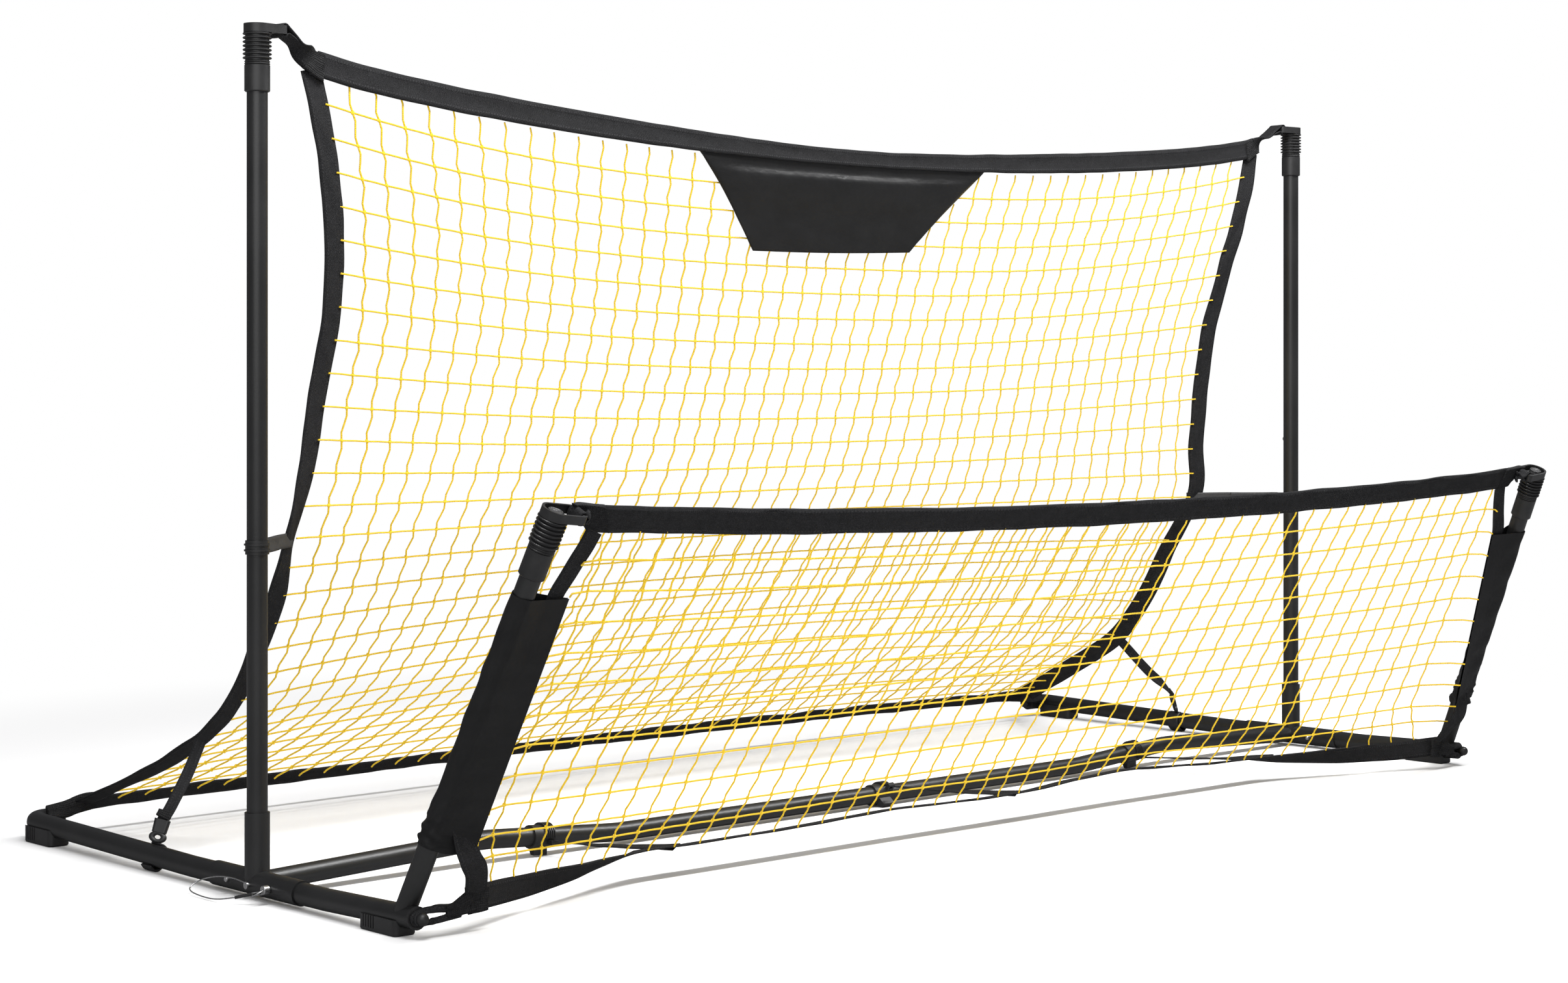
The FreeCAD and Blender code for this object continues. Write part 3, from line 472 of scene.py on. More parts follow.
def cloth(name, place, across, along, material, thick):
    """A sheet whose point (u, v), both from 0 to 1, lies at place(u, v); across and along count its cells."""
    bpy.ops.object.select_all(action="DESELECT")
    bpy.ops.mesh.primitive_grid_add(x_subdivisions=across, y_subdivisions=along, size=1)
    piece = bpy.context.object
    piece.name = name
    piece.data.name = name
    flat = [(v.co.x + 0.5, v.co.y + 0.5) for v in piece.data.vertices]
    for vertex, (u, v) in zip(piece.data.vertices, flat):
        vertex.co = place(u, v)
    middle = [place(0.5, i / 40) for i in range(41)]
    length = sum((b - a).length for a, b in zip(middle, middle[1:]))
    width = sum((place((i + 1) / 8, 0.5) - place(i / 8, 0.5)).length for i in range(8))
    layer = piece.data.uv_layers.active.data
    for loop in piece.data.loops:
        u, v = flat[loop.vertex_index]
        layer[loop.index].uv = (min(u, 1 - u) * width, v * length)
    piece.data.materials.append(material.material)
    bpy.ops.object.shade_smooth()
    if thick:
        wall = piece.modifiers.new("thickness", "SOLIDIFY")
        wall.thickness = thick
        wall.offset = 0
        bpy.ops.object.modifier_apply(modifier="thickness")
    return piece


def tape(name, points, across, width, thick, cells, material=webbing, ripple=0.0006, crown=0.0):
    """A strip of webbing along points; across gives its width direction at each, and ripple its waviness."""
    def place(u, v):
        centre = smooth(points, v)
        side = smooth(across, v)
        step = 0.5 / cells
        heading = (smooth(points, v + step) - smooth(points, v - step)).normalized()
        side = (side - heading * side.dot(heading)).normalized()
        normal = heading.cross(side)
        wave = noise.noise(centre * 21 + Vector((0, 0, u * 2))) * ripple * 2
        sway = noise.noise(centre * 13 + Vector((7, 0, 0))) * ripple * 1.5
        bow = crown * (1 - (2 * u - 1) ** 2)
        wide = width[0] + (width[1] - width[0]) * v if isinstance(width, tuple) else width
        return centre + side * ((u - 0.5) * wide + sway) + normal * (wave + bow)
    return cloth(name, place, 6, cells, material, thick)


def smooth_list(vectors, count):
    """Count vectors, evenly spaced along the smooth line through the given ones."""
    return [smooth(vectors, i / (count - 1)) for i in range(count)]


top_half = 0.934
hem_thick = 0.0028
top_hem_thick = 0.0026


def top_edge(x):
    """Height of the top hem's lower edge."""
    a = abs(x)
    return hem_height + 0.016 * (a / 0.508) ** 2.05 + 0.006 * (a / 0.93) ** 12


def top_band(u, v):
    x = (2 * v - 1) * (top_half + 0.013 - 0.014 * u)
    low = top_edge(x)
    high = low + 0.0235 + 0.009 * (1 - 2.72 ** -((x / 0.35) ** 2))
    lean = 0.0015 * sin(u * pi) + noise.noise(Vector((x * 11, u * 2, 3))) * 0.0012
    tuck = noise.noise(Vector((x * 19, 4, 0))) * 0.0010
    return behind(x, 0.0145 + lean, low + (high - low) * u + tuck)


band = cloth("tall_top_band", top_band, 6, 200, webbing, top_hem_thick)
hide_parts("main_band_top")
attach(band, "frame")

side_cells = 120
turns = ((1, 0.10, 0), (1, 0.12, 0), (1, 0.14, 0), (1, 0.18, 0), (1, 0.22, 0), (1, 0.25, 0), (0.82, 0.58, 0),
         (1, 0.12, -0.1), (1, 0.2, -0.15), (1, 0.3, -0.22), (1, 0.3, -0.3), (1, 0.25, -0.22), (1, 0.2, -0.1))
left_side = tape("tall_side_band_left", side_line, smooth_list([Vector(turn) for turn in turns], 57),
                 side_band_width, hem_thick, side_cells, ripple=0.0012)
# The right hem follows the mirrored line, but it is twisted the other way near the ground.
right_line = [Vector((-spot.x, spot.y, spot.z)) for spot in side_line]
right_turns = ((-1, 0.10, 0), (-1, 0.12, 0), (-1, 0.14, 0), (-1, 0.18, 0), (-1, 0.22, 0), (-1, 0.25, 0),
               (-1, 0.27, 0.1), (-0.9, 0.3, 0.3), (-0.7, 0.4, 0.55), (-0.55, 0.45, 0.7), (-0.5, 0.46, 0.73),
               (-0.5, 0.46, 0.73), (-0.6, 0.4, 0.6))
right_side = tape("tall_side_band_right", right_line, smooth_list([Vector(turn) for turn in right_turns], 57),
                  side_band_width, hem_thick, side_cells, ripple=0.0012)
# Both hems are declared at the right one's length. The left one's own is 0.2 mm more.
for piece, side in ((left_side, "left"), (right_side, "right")):
    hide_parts("main_band_side_" + side)
    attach(piece, "frame")

rear_line = [behind(x, 0.566 + 0.014 * (1 - (x / 0.97) ** 2), 0.042 + 0.006 * (1 - (x / 0.97) ** 2))
             for x in (-0.955, -0.70, -0.45, -0.15, 0.15, 0.45, 0.70, 0.955)]
rear_band_width = 0.030
rear_band = tape("tall_rear_band", rear_line, [Vector((0, 0.77, -0.64))] * 8, rear_band_width, hem_thick, 120,
                 ripple=0.0012)
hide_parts("main_band_bottom")
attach(rear_band, "frame")

# The front net is knotted from the same twine and stretched between the two leaning poles. Straps from the
# crossbar draw its bottom hem back, so that it turns under at the bottom.
front_base_y = -0.343
front_base_z = 0.026
front_slope = radians(19.7)
seam_row = 0.862


def front_plane(x, height):
    """A point of the sloping plane that the poles hold the front net in."""
    y = tee_y + front_base_y - height * sin(front_slope)
    return Vector((x, y, front_base_z + height * cos(front_slope)))


def front_top_h(x):
    """Distance up the slope to the middle of the front net's top hem."""
    return 0.452 + 0.028 * abs(x / 0.94) ** 2.2


def low_hem(x):
    """Upper edge of the bottom hem: level with the poles at its ends, drawn back between them."""
    end = max(0.0, (abs(x) - 0.62) / 0.348)
    lift = 0.012 * 2.72 ** -(((x - 0.30) / 0.17) ** 2) + 0.005 * 2.72 ** -(((x + 0.18) / 0.15) ** 2)
    return behind(x, -0.250 - 0.012 * min(1, end * 3) - 0.081 * end ** 1.6, 0.041 + lift + 0.011 * end ** 1.5)


def front_net(u, v):
    """A point of the front net: u from -1 at the left sleeve to 1, v from 0 at the top hem to 1."""
    a = abs(u)
    top = front_plane(u * 0.921, front_top_h(u * 0.921) - 0.014)
    seam = behind(u * 0.958, -0.283 - 0.045 * a ** 2.5, 0.098 + 0.007 * a ** 6)
    low = low_hem(u * 0.963)
    spot = top.lerp(seam, v / seam_row) if v < seam_row else seam.lerp(low, (v - seam_row) / (1 - seam_row))
    if a > 0.956:
        side = 1 if u > 0 else -1
        share = (v - 0.16) / (seam_row - 0.16)
        edge = front_plane(side * 0.919, 0.387).lerp(front_plane(side * 0.972, 0.082), share)
        return spot.lerp(edge, min(1.0, (a - 0.956) / 0.044))
    return spot


front_columns = 45
front_rows = [0.08 + 0.0869 * i for i in range(10)] + [0.925]
front_cord_thick = 0.0024
front_knot_size = 0.0048
levels = [0.0] + front_rows + [1.0]


def front_level(u, v):
    """The same surface, with the rows evenly spaced in v."""
    spot = min(v * 12, 11.999)
    i = int(spot)
    return front_net(u, levels[i] + (levels[i + 1] - levels[i]) * (spot - i))


front_lines = [strand(front_level, -1 + 2 * k / front_columns, 0, 1, 12, 0.0019, k + 80)
               for k in range(1, front_columns)]
front_spots = [line[4 * j] for line in front_lines for j in range(1, 12)]
for j in range(1, 12):
    front_lines.append(row(front_level, j / 12, front_columns, 0.0006, j + 40))
front_cords = cords("front_net_cords", front_lines, front_cord_thick)
front_knots = knots("front_net_knots", front_spots, front_knot_size)
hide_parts("front_net")
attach(front_cords, "frame")
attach(front_knots, "frame")

slope_up = Vector((0, -sin(front_slope), cos(front_slope)))
top_line = [front_plane(x, front_top_h(x)) for x in (-0.903, -0.80, -0.62, -0.31, 0, 0.31, 0.62, 0.80, 0.903)]
top_hem_width = 0.032
front_top = tape("front_top_band", top_line, [slope_up] * 9, top_hem_width, hem_thick, 160, ripple=0.001)
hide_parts("front_band_top")
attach(front_top, "frame")


low_hem_width = 0.029


def low_band(u, v):
    """The bottom hem stands upright at the poles and is turned flat where the straps draw it back."""
    x = (2 * v - 1) * 0.969
    end = max(0.0, (abs(x) - 0.62) / 0.348) ** 0.8
    down = Vector((0, 1 - end * 1.15, -0.19 - end * 0.78)).normalized()
    wave = noise.noise(Vector((x * 14, u, 6))) * 0.0012
    return low_hem(x) + down * (low_hem_width * (1 - u)) + Vector((0, 0, wave))


front_low = cloth("front_bottom_band", low_band, 6, 200, webbing, hem_thick)
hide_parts("front_band_bottom")
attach(front_low, "frame")

# A nylon sleeve sewn to each end of the front net slips over the front pole. It is a flat pocket,
# tight round the pole on its outer side and gathered in folds at its lower end.
# Black sleeve nylon with a fine weave. Its colour is darker in the creases, which is painted shade.
nylon = Finish("sleeve_nylon")
weave = nylon.along.sine(0.0009) * nylon.across.sine(0.0009)
crease_and_shade = nylon.grain(0.05, 3, (1, 1, 2.5))
nylon.set(Base_Color=(crease_and_shade * 0.8 + weave * 0.1).blend((0.004, 0.004, 0.0045), (0.012, 0.012, 0.0125)),
          Roughness=0.50 + weave * 0.05, Specular_IOR_Level=0.30)
nylon.bump(crease_and_shade * 0.8 + weave * 0.06, 0.0016)

pole_foot = behind(-half_span, -0.308, 0.0224)
pole_way = Vector((0.048, -0.175, 0.3916)).normalized()
sleeve_low = 0.092
sleeve_high = 0.408
pole_radius = 0.0142


def mirror_copy(piece, name):
    """The right-hand twin of a left-hand piece, with its faces turned outward again."""
    bpy.ops.object.select_all(action="DESELECT")
    piece.select_set(True)
    bpy.context.view_layer.objects.active = piece
    bpy.ops.object.duplicate()
    twin = bpy.context.object
    twin.name = name
    twin.data.name = name
    for vertex in twin.data.vertices:
        vertex.co.x = -vertex.co.x
    twin.data.flip_normals()
    return twin


def sleeve(u, v):
    """u goes from the sewn edge along the front, round the pole and back to the edge; v goes up the pole."""
    axis = pole_foot + pole_way * (sleeve_low + (sleeve_high - sleeve_low) * v)
    edge = front_plane(-0.972, 0.082).lerp(front_plane(-0.919, 0.390), v)
    edge = edge - pole_way * 0.008 * (1 - v)
    out = edge - axis
    out = out - pole_way * out.dot(pole_way)
    depth = out.length
    out.normalize()
    face = pole_way.cross(out)
    gather = max(0.0, 1 - v * 7)
    crumple = noise.noise(Vector((u * 7, v * 9, 1))) * 0.0016
    folds = sin(v * 130 + sin(u * 9) * 1.6) * 0.0030 + noise.noise(Vector((u * 11, v * 60, 8))) * 0.004
    crumple += gather * folds
    crumple += max(0.0, 1 - v * 2.2) * noise.noise(Vector((u * 6 + v * 7, v * 16 - u * 9, 4))) * 0.0030
    arc = 0.26
    if u < arc or u > 1 - arc:
        reach = min(u, 1 - u) / arc
        side = 1 if u < 0.5 else -1
        offset = side * (0.0012 + (pole_radius - 0.0012) * reach ** 1.4 + abs(crumple) * 1.4 * reach)
        spot = axis + out * depth * (1 - reach) + face * offset
    else:
        turn = pi / 2 + pi * (u - arc) / (1 - 2 * arc)
        radius = pole_radius + max(crumple, 0)
        spot = axis + (out * cos(turn) + face * sin(turn)) * radius
    swing = 2.2 * noise.noise(Vector((u * 3, v * 6, 9)))
    dimple = sin(v * 34 + u * 21 + swing) * 0.0007 * min(1.0, 4 * min(u, 1 - u))
    return spot + face * dimple + pole_way * noise.noise(Vector((u * 5, v * 3, 2))) * 0.0015


left_sleeve = cloth("front_sleeve_left", sleeve, 72, 110, nylon, 0.0)
right_sleeve = mirror_copy(left_sleeve, "front_sleeve_right")
for piece, side in ((left_sleeve, "left"), (right_sleeve, "right")):
    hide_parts("pole_sleeve_" + side)
    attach(piece, "frame")

# At each upper corner a short webbing tab is looped over the bracket's bar and sewn to the net with a
# boxed patch.
# Sewn tape of the tabs and patches, with crossed stitching. Its colour is darker in the puckers, which is
# painted shade.
sewn = Finish("sewn_tape")
cross_stitch = (sewn.along + sewn.across).sine(0.0052) * (sewn.along - sewn.across).sine(0.0052)
pucker_and_shade = sewn.grain(0.0042, 3)
sewn.set(Base_Color=(pucker_and_shade * 0.7 + cross_stitch * 0.2).blend((0.0035, 0.0035, 0.004), (0.020, 0.020, 0.021)),
         Roughness=0.75, Specular_IOR_Level=0.25)
sewn.bump(pucker_and_shade + cross_stitch * 0.4, 0.0012)


def loop_tab(name, origin, up, ahead, start, start_across, low, low_across, width):
    """A tab from its upper end, over the bar and through the slot, back under the bar to its lower end."""
    sideways = ahead.cross(up)
    bar = [origin + ahead * a + up * h for a, h in
           ((0.0390, 0.0815), (0.0352, 0.0846), (0.0300, 0.0845), (0.0276, 0.0800), (0.0276, 0.0745),
            (0.0300, 0.0702), (0.0352, 0.0702), (0.0392, 0.0735))]
    points = even([start, start.lerp(bar[0], 0.5)] + bar + [low.lerp(bar[-1], 0.5) + up * 0.002, low], 40)
    across = smooth_list([start_across, start_across.lerp(sideways, 0.5)] + [sideways] * 8
                         + [low_across.lerp(sideways, 0.5), low_across], 40)
    return tape(name, points, across, width, 0.0016, 80, ripple=0.0003)


def patch(name, low_left, high_left, low_right, high_right, thick=0.0056):
    """A boxed end where several layers of webbing are sewn together, its faces and edges a little uneven."""
    normal = (low_right - low_left).cross(high_left - low_left).normalized()

    def place(u, v):
        spot = low_left.lerp(high_left, u).lerp(low_right.lerp(high_right, u), v)
        crush = noise.noise(spot * 70) * 0.0014 + noise.noise(spot * 190) * 0.0006
        edge = Vector((noise.noise(spot * 90), 0, noise.noise(spot * 80 + Vector((3, 3, 3))))) * 0.0012
        pinch = 0.0010 * (abs(2 * u - 1) ** 8 + abs(2 * v - 1) ** 8)
        return spot + normal * (crush + pinch) + edge
    return cloth(name, place, 16, 16, sewn, thick)


main_origin = behind(-half_span, 0, 0.980)
main_ahead = Vector((1, 0.12, 0)).normalized()
edge_up = Vector((0.56, 0, 0.83))
main_tab = loop_tab("tall_corner_tab_left", main_origin, Vector((0, 0, 1)), main_ahead,
                    behind(-0.947, 0.0125, 1.0275), edge_up, behind(-0.947, 0.0165, 1.0275), edge_up, 0.027)
main_patch = patch("tall_corner_patch_left", behind(-0.9565, 0.0145, 1.0170), behind(-0.9420, 0.0145, 1.0400),
                   behind(-0.9270, 0.0145, 1.0010), behind(-0.9240, 0.0145, 1.0350), 0.0066)
pole_length = 0.4316
front_origin = pole_foot + pole_way * pole_length
front_ahead = (Vector((1, 0, 0)) - pole_way * pole_way.x).normalized()
slant = (slope_up * 0.033 - Vector((0.032, 0, 0))).normalized()
front_tab = loop_tab("front_corner_tab_left", front_origin, pole_way, front_ahead,
                     front_plane(-0.928, 0.4830), slant, front_plane(-0.928, 0.4790), slant, 0.022)
front_patch = patch("front_corner_patch_left", front_plane(-0.916, 0.4640), front_plane(-0.946, 0.4975),
                    front_plane(-0.886, 0.4600), front_plane(-0.900, 0.4930))

# Each bracket turns on a blackened steel stud in the cap. Its wide flat head, with shallow rings pressed
# into it, shows on top of the bracket.
for name, origin, up in (("tall", main_origin, Vector((0, 0, 1))), ("front", front_origin, pole_way)):
    bpy.ops.object.select_all(action="DESELECT")
    bpy.ops.mesh.primitive_cylinder_add(vertices=48, radius=0.0087, depth=0.0030, location=(0, 0, 0))
    head = bpy.context.object
    head.name = name + "_stud_head_left"
    bpy.ops.object.mode_set(mode="EDIT")
    bpy.ops.mesh.select_all(action="DESELECT")
    shape = bmesh.from_edit_mesh(head.data)
    top = [face for face in shape.faces if face.normal.z > 0.9]
    for thick, depth in ((0.0013, 0.0), (0.0006, -0.0007), (0.0030, 0.0), (0.0006, -0.0005)):
        bmesh.ops.inset_region(shape, faces=top, thickness=thick, depth=depth)
    bmesh.update_edit_mesh(head.data)
    bpy.ops.object.mode_set(mode="OBJECT")
    edge = head.modifiers.new("edge", "BEVEL")
    edge.width = 0.0003
    edge.segments = 2
    bpy.ops.object.modifier_apply(modifier="edge")
    turn = up.to_track_quat("Z", "Y").to_matrix().to_4x4()
    head.data.transform(Matrix.Translation(origin + up * 0.0796) @ turn)
    bpy.ops.object.shade_flat()
    head.data.materials.append(stud_steel.material)
    twin = mirror_copy(head, name + "_stud_head_right")
    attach(head, "frame")
    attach(twin, "frame")

# A webbing strap runs from the front corner patch down into the top of the sleeve, and another comes
# out of its lower end and is sewn to the corner of the bottom hem.
upper_tail = tape("sleeve_upper_strap_left",
                  even([front_plane(x, h) + Vector((0, 0.003, 0)) for x, h in
                        ((-0.903, 0.462), (-0.910, 0.444), (-0.917, 0.430), (-0.926, 0.411),
                         (-0.936, 0.390), (-0.940, 0.372))], 30),
                  [Vector((1, 0, 0))] * 30, 0.024, 0.0020, 50, ripple=0.0012)
lower_tail = tape("sleeve_lower_strap_left",
                  even([front_plane(x, h) + Vector((0, shift, 0)) for x, h, shift in
                        ((-0.992, 0.112, 0.014), (-0.9875, 0.083, 0.002), (-0.979, 0.064, -0.004),
                         (-0.9665, 0.046, -0.003))] + [behind(-0.9545, -0.3425, 0.0350)], 30),
                  [Vector((1, 0, 0))] * 30, (0.030, 0.028), 0.0022, 50, ripple=0.0016)
low_patch = patch("front_low_patch_left", behind(-0.9660, -0.3455, 0.0205), behind(-0.9690, -0.3465, 0.0515),
                  behind(-0.9395, -0.3450, 0.0225), behind(-0.9395, -0.3460, 0.0500))

# A narrow strap, rolled almost to a rope, loops over the knob at the rail's front end. It comes out of a
# short web of sewn tape that widens towards the low corner patch.
knob_at = behind(-half_span, -0.3400, 0.0231)
rope_line = [behind(-0.978, -0.3475, 0.0330), behind(-0.992, -0.3465, 0.0315),
             behind(-1.012, -0.3430, 0.0325), knob_at + Vector((0.003, 0, 0.0078)),
             knob_at + Vector((-0.0078, 0, 0.003)), knob_at + Vector((-0.0058, 0, -0.0058)),
             knob_at + Vector((0.0035, 0, -0.0076)), behind(-1.010, -0.3430, 0.0195),
             behind(-0.992, -0.3465, 0.0225), behind(-0.978, -0.3475, 0.0245)]
legs = Vector((0, 0.35, 1))
rope = tape("front_knob_strap_left", even(rope_line, 60),
            smooth_list([legs, legs, legs, Vector((0, 1, 0.3)), Vector((0, 1, 0)), Vector((0, 1, 0)),
                         Vector((0, 1, -0.3)), -legs, -legs, -legs], 60), 0.0075, 0.0044, 120,
            ripple=0.0011, crown=0.0010)
knob_web = tape("front_knob_web_left",
                even([behind(-0.998, -0.3465, 0.0275), behind(-0.987, -0.3470, 0.0290),
                      behind(-0.975, -0.3472, 0.0325), behind(-0.962, -0.3475, 0.0360)], 20),
                [Vector((0, 0.1, 1))] * 20, (0.012, 0.028), 0.0048, 40, material=sewn, ripple=0.0024)

# The rear corner of the tall net ends in a gathered tab of sewn tape. A round loop of webbing goes over the
# plug in the rail's elbow.
plug_at = behind(-0.9882, 0.577, 0.026)
rear_across = [Vector((0, 0.44, 0.9)), Vector((0, 0.4, 0.9)), Vector((0, 0.2, 1)), Vector((0, -0.1, 1)),
               Vector((0, -0.45, 0.85)), Vector((0, -0.77, 0.64))]
rear_tab = tape("rear_corner_tab_left",
                even([behind(-1.014, 0.5600, 0.0345), behind(-0.999, 0.5595, 0.0350),
                      behind(-0.985, 0.5610, 0.0360), behind(-0.968, 0.5640, 0.0400),
                      behind(-0.951, 0.5655, 0.0430), behind(-0.935, 0.5655, 0.0445)], 40),
                smooth_list(rear_across, 40),
                (0.017, 0.031), 0.0052, 60, material=sewn, ripple=0.0026)
bpy.ops.object.select_all(action="DESELECT")
bpy.ops.mesh.primitive_torus_add(major_radius=0.0064, minor_radius=0.0017, major_segments=28,
                                 minor_segments=10, location=plug_at, rotation=(0, pi / 2, 0))
plug_loop = bpy.context.object
plug_loop.name = "rear_plug_loop_left"
bpy.ops.object.transform_apply(location=True, rotation=True, scale=False)
bpy.ops.object.shade_smooth()
plug_loop.data.materials.append(webbing.material)

# The pieces sewn to the net stay with it; the tabs and their mirrored twins are fixed where they are.
flip = Vector((-1, 1, 1))
for piece in (main_patch, front_patch, upper_tail, lower_tail, low_patch, rope, knob_web, rear_tab,
              plug_loop):
    twin = mirror_copy(piece, piece.name.replace("_left", "_right"))
    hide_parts("corner_straps")
    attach(piece, "frame")
    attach(twin, "frame")
bar_point = main_origin + main_ahead * 0.0327 + Vector((0, 0, 0.0773))
front_bar = front_origin + front_ahead * 0.0327 + pole_way * 0.0773
tall_seam = behind(-0.950, 0.0145, 1.029)
front_seam = front_plane(-0.925, 0.482)
for tab, body, start, end in (
        (main_tab, "main_swivel", bar_point + main_ahead * 0.008, tall_seam),
        (front_tab, "front_swivel", front_bar + front_ahead * 0.004, front_seam)):
    twin = mirror_copy(tab, tab.name.replace("_left", "_right"))
    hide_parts("corner_straps")
    body + "_left"
    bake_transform(tab)
    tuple(start)
    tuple(end)
    body + "_right"
    start * flip
    end * flip
    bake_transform(twin)

# A strap of smoother, greyer tape goes round the clip on each upright and is sewn to the tall net's side
# hem, which it holds in.
smooth_tape = Finish("smooth_tape")
thread = smooth_tape.grain(0.0013, 2, (1, 1, 0.3))
worn = smooth_tape.grain(0.02, 3)
smooth_tape.set(Base_Color=(thread * 0.4 + worn * 0.5).blend((0.018, 0.018, 0.0185), (0.045, 0.045, 0.046)),
                Roughness=0.6, Specular_IOR_Level=0.35)
smooth_tape.bump(thread + worn * 0.5, 0.0003)

clip_way = Vector((cos(radians(43)), sin(radians(43)), 0))
clip_side = Vector((-clip_way.y, clip_way.x, 0))
clip_at = behind(-half_span, 0, 0.426)
upright_points = [clip_at + clip_way * a + clip_side * s for a, s in
                  ((0.0420, -0.0010), (0.0335, -0.0045), (0.0290, -0.0062), (0.0245, -0.0055), (0.0230, 0.0),
                   (0.0245, 0.0055), (0.0290, 0.0062), (0.0335, 0.0045), (0.0420, 0.0022))]
hem_end = behind(-0.9010, 0.1245, 0.4250)
upright_strap = tape("upright_strap_left",
                     even([hem_end.lerp(upright_points[0], 0.55)] + upright_points
                          + [hem_end.lerp(upright_points[-1], 0.5), hem_end], 60),
                     [Vector((0, 0, 1))] * 60, 0.0185, 0.0016, 110, material=smooth_tape,
                     ripple=0.0005)
twin = mirror_copy(upright_strap, "upright_strap_right")
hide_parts("upright_straps")
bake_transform(upright_strap)
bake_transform(twin)

# A webbing strap with a moulded adjuster pulls each side hem down to a nylon clip hooked round the rear
# rail from below. The right strap is turned the other way, as in the photograph.
rail_at = behind(-half_span, 0.249, 0.0202)
hook = [rail_at + Vector((cos(radians(a)) * r, 0, sin(radians(a)) * r)) for a, r in
        ((72, 0.0152), (50, 0.0152), (25, 0.0152), (0, 0.0152), (-25, 0.0152), (-50, 0.0154), (-70, 0.0170),
         (-88, 0.0188), (-104, 0.0186), (-118, 0.0166), (-130, 0.0150))]
rail_clip = tape("rail_clip_left", even(hook, 40), [Vector((0, 1, 0))] * 40, 0.024, 0.0026, 60,
                 material=plastic, ripple=0.0)
tip = behind(-1.0245, 0.249, 0.0385)
neck = behind(-1.0150, 0.250, 0.0640)
rise = (neck - tip).normalized()
bpy.ops.object.select_all(action="DESELECT")
bpy.ops.mesh.primitive_torus_add(major_radius=0.0078, minor_radius=0.0041, major_segments=36,
                                 minor_segments=12, location=(0, 0, 0))
ring = bpy.context.object
ring.name = "rail_adjuster_ring_left"
sheet_side = Vector((0.60, -0.75, -0.20))
sheet_side = (sheet_side - rise * sheet_side.dot(rise)).normalized()
facing = rise.cross(sheet_side)
turn = Matrix((sheet_side, rise, facing)).transposed().to_4x4()
for vertex in ring.data.vertices:
    flattened = Vector((vertex.co.x * 1.02, vertex.co.y * 0.66, vertex.co.z * 0.75))
    vertex.co = turn @ flattened + tip + rise * 0.004
bpy.ops.object.shade_smooth()
ring.data.materials.append(plastic.material)
ladder = tape("rail_adjuster_left", even([tip + rise * share for share in (0.0095, 0.013, 0.020, 0.027)], 16),
              [sheet_side] * 16, (0.0180, 0.0200), 0.0062, 22, material=plastic, ripple=0.0)
grips = []
for share in (0.014, 0.018, 0.022):
    bpy.ops.object.select_all(action="DESELECT")
    bpy.ops.mesh.primitive_cylinder_add(vertices=12, radius=0.0011, depth=0.0170,
                                        rotation=(0, pi / 2, 0))
    grip = bpy.context.object
    bpy.ops.object.transform_apply(location=False, rotation=True, scale=False)
    for vertex in grip.data.vertices:
        vertex.co = turn @ (vertex.co + Vector((0, share, 0.0034))) + tip
    grip.name = "rail_adjuster_grip_left_%d" % (share * 1000)
    grip.data.materials.append(plastic.material)
    bpy.ops.object.shade_smooth()
    grips.append(grip)
rail_top = behind(-0.930, 0.300, 0.153)
rail_web = tape("rail_strap_left",
                even([tip + rise * 0.0105, tip + rise * 0.026, neck + Vector((0.013, 0.002, 0.015)),
                      behind(-0.969, 0.270, 0.1130), rail_top], 50),
                [sheet_side, sheet_side, Vector((0.6, -0.75, -0.2)), Vector((0.62, -0.72, -0.2)),
                 Vector((0.66, -0.66, -0.2))], 0.0155, 0.0018, 80, ripple=0.0007)
keeper = tape("rail_strap_keeper_left",
              even([neck + Vector((-0.001, 0, 0.002)), neck + Vector((0.002, 0, 0.006)),
                    neck + Vector((0.005, 0.001, 0.010))], 10),
              [sheet_side] * 10, 0.0185, 0.0048, 10, material=sewn, ripple=0.0008)
lean = Vector((-0.53, 0.49, -0.69))
turned_side = sheet_side * flip
right_web = tape("rail_strap_right",
                 even([(tip + rise * 0.0105) * flip, (tip + rise * 0.026) * flip,
                       (neck + Vector((0.013, 0.002, 0.015))) * flip, behind(0.969, 0.270, 0.1130),
                       rail_top * flip + Vector((0, -0.003, 0.011))], 50),
                 smooth_list([turned_side, turned_side.lerp(lean, 0.3), lean, lean, lean], 50),
                 0.0155, 0.0018, 80, ripple=0.0007)
for piece in [rail_clip, ring, ladder, keeper] + grips:
    twin = mirror_copy(piece, piece.name.replace("_left", "_right"))
    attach(piece, "frame")
    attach(twin, "frame")
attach(rail_web, "frame")
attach(right_web, "frame")
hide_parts("rail_straps")
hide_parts("rail_buckles")

# Thin webbing straps from the three clips on the crossbar draw the front net's bottom hem back. Each one
# widens towards the hem that it is sewn under.
for name, clip_x, eye_z, hold_x in (("left", -0.600, 0.020, -0.560), ("centre", 0.030, 0.030, 0.080),
                                    ("right", 0.600, 0.020, 0.660)):
    start = behind(clip_x + 0.010, -0.0275, eye_z)
    hold = low_hem(hold_x) + Vector((0, 0.016, -0.004))
    middle = start.lerp(hold, 0.5) + Vector((0, 0, -0.002))
    across = smooth_list([Vector((1, 0, -0.1)), Vector((1, 0, 0.1)), Vector((1, 0.1, 0.35))], 30)
    foot_strap = tape("foot_strap_" + name, even([start, middle, hold], 30), across, (0.010, 0.017), 0.0016,
                      60, ripple=0.0006)
    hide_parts("foot_straps")
    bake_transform(foot_strap)
    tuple(start)

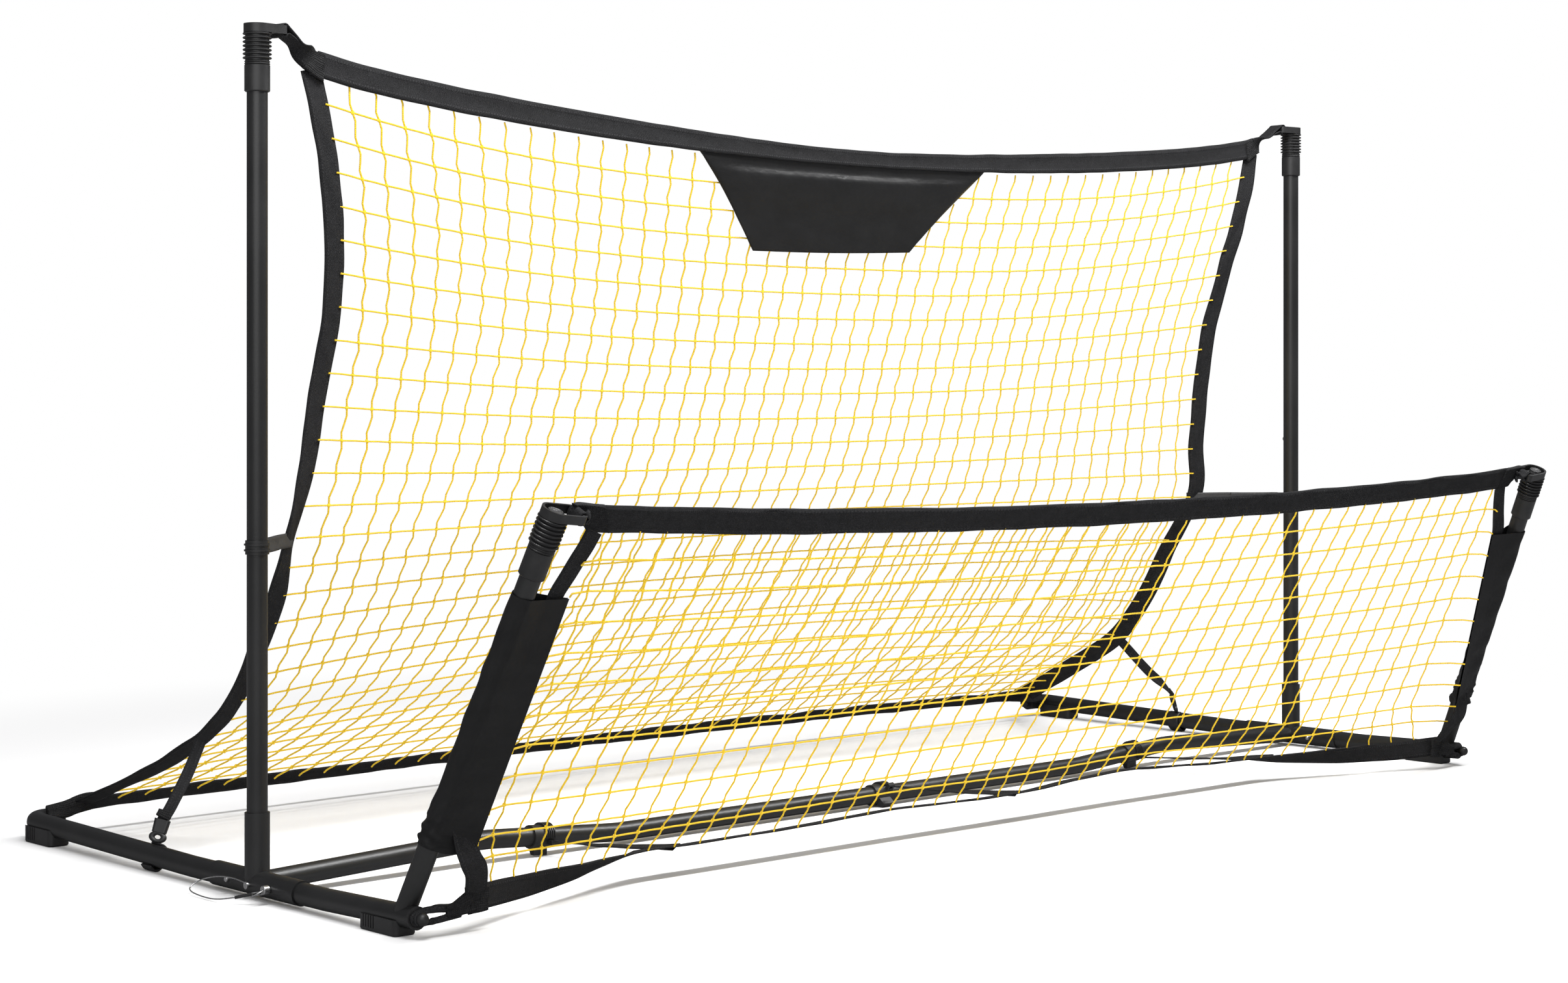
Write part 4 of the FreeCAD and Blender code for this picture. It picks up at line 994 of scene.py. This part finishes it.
# The panel sewn under the middle of the top hem is plain glossy vinyl. Its upper edge is folded and hemmed,
# and below the fold it hangs a little wrinkled.
def panel(u, v):
    high = top_edge(0.29 * (2 * u - 1)) + 0.007
    z = high - (high - panel_foot - 0.0035 * (2 * u - 1)) * (1 - v)
    half = panel_low_half + (panel_high_half - panel_low_half) * v - 0.004 * sin(pi * v)
    x = (2 * u - 1) * half - 0.012 - 0.0065 * (1 - v)
    below = high - 0.007 - z
    fold = min(max((below - 0.009) / 0.016, 0.0), 1.0)
    fade = min(max((below - 0.027) / 0.060, 0.0), 1.0)
    bulge = 0.0064 * fold * fold * (3 - 2 * fold) * (1 - fade * fade * (3 - 2 * fade)) * sin(pi * u) ** 0.35
    hollow = noise.noise(Vector((x * 9, z * 16, 2))) * 0.0022
    hollow += noise.noise(Vector((x * 30 + z * 20, z * 60, 2))) * 0.0010
    pull = 0.004 * sin(pi * u) * (1 - v)
    depth = 0.0172 + max(0.0, hem_height - z) * 0.225 - bulge - hollow * (1 - v)
    return behind(x, depth, z - pull * 0.5)


vinyl_panel = cloth("net_panel", panel, 90, 36, vinyl, 0.0016)
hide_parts("net_patch")
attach(vinyl_panel, "frame")

# The floor is a pale sheet that fades to pure white around the frame, so that only shadows near the frame
# show. Rays reflected from the object meet the floor and the world darker than the camera sees them.
bpy.ops.object.select_all(action="DESELECT")
bpy.ops.mesh.primitive_plane_add(size=40, location=(0, 0, -0.0002))
floor = bpy.context.object
floor.name = "floor"
floor_finish = Finish("pale_floor")
mirror = floor_finish.root.node("ShaderNodeLightPath", output="Is Glossy Ray")
floor_finish.set(Base_Color=mirror.blend((0.93, 0.93, 0.93), (0.16, 0.16, 0.165)), Roughness=0.9)
distance = (floor_finish.axis(0) * floor_finish.axis(0)
            + floor_finish.axis(1) * floor_finish.axis(1)).math("SQRT")
far = distance.step(1.3, 2.2)
glow = floor_finish.root.node("ShaderNodeEmission", {"Color": (1, 1, 1, 1), "Strength": 1.0})
surface = Value(floor_finish.tree, floor_finish.shader.outputs[0])
white = floor_finish.root.node("ShaderNodeMixShader", {0: far * (1 - mirror * 0.85), 1: surface, 2: glow})
floor_finish.tree.links.new(white.socket, floor_finish.tree.nodes["Material Output"].inputs[0])
floor.data.materials.append(floor_finish.material)

world = bpy.data.worlds.new("studio")
bpy.context.scene.world = world
world.use_nodes = True
world_tree = world.node_tree
background = world_tree.nodes["Background"]
ray = Value(world_tree, world_tree.nodes.new("ShaderNodeLightPath").outputs["Is Camera Ray"])
glossy = Value(world_tree, world_tree.nodes["Light Path"].outputs["Is Glossy Ray"])
soft = ray.blend((0.48, 0.48, 0.485), (1.0, 1.0, 1.0))
room = ray.node("ShaderNodeMix", {0: glossy, 6: soft, 7: (0.13, 0.13, 0.135, 1)}, output=2, data_type="RGBA")
world_tree.links.new(room.socket, background.inputs["Color"])
background.inputs["Strength"].default_value = 1.0

# The main light is a long narrow strip above the front, so that only the bars that run along the
# crossbar throw a clear shadow; a broad one from the left lights the sides that the camera sees.
for name, spot, aim, energy, size in (("strip", (0.3, -1.0, 2.4), (0.3, 0.1, 0), 125, (4.4, 0.30)),
                                      ("side", (-2.9, -2.2, 1.9), (-0.4, 0.0, 0.4), 36, (3.0, 2.4))):
    bpy.ops.object.light_add(type="AREA", location=spot)
    lamp = bpy.context.object
    lamp.name = name + "_light"
    lamp.data.energy = energy
    lamp.data.shape = "RECTANGLE"
    lamp.data.size, lamp.data.size_y = size
    lamp.rotation_euler = (Vector(aim) - Vector(spot)).to_track_quat("-Z", "Y").to_euler()

scene = bpy.context.scene
scene.view_settings.view_transform = "Standard"
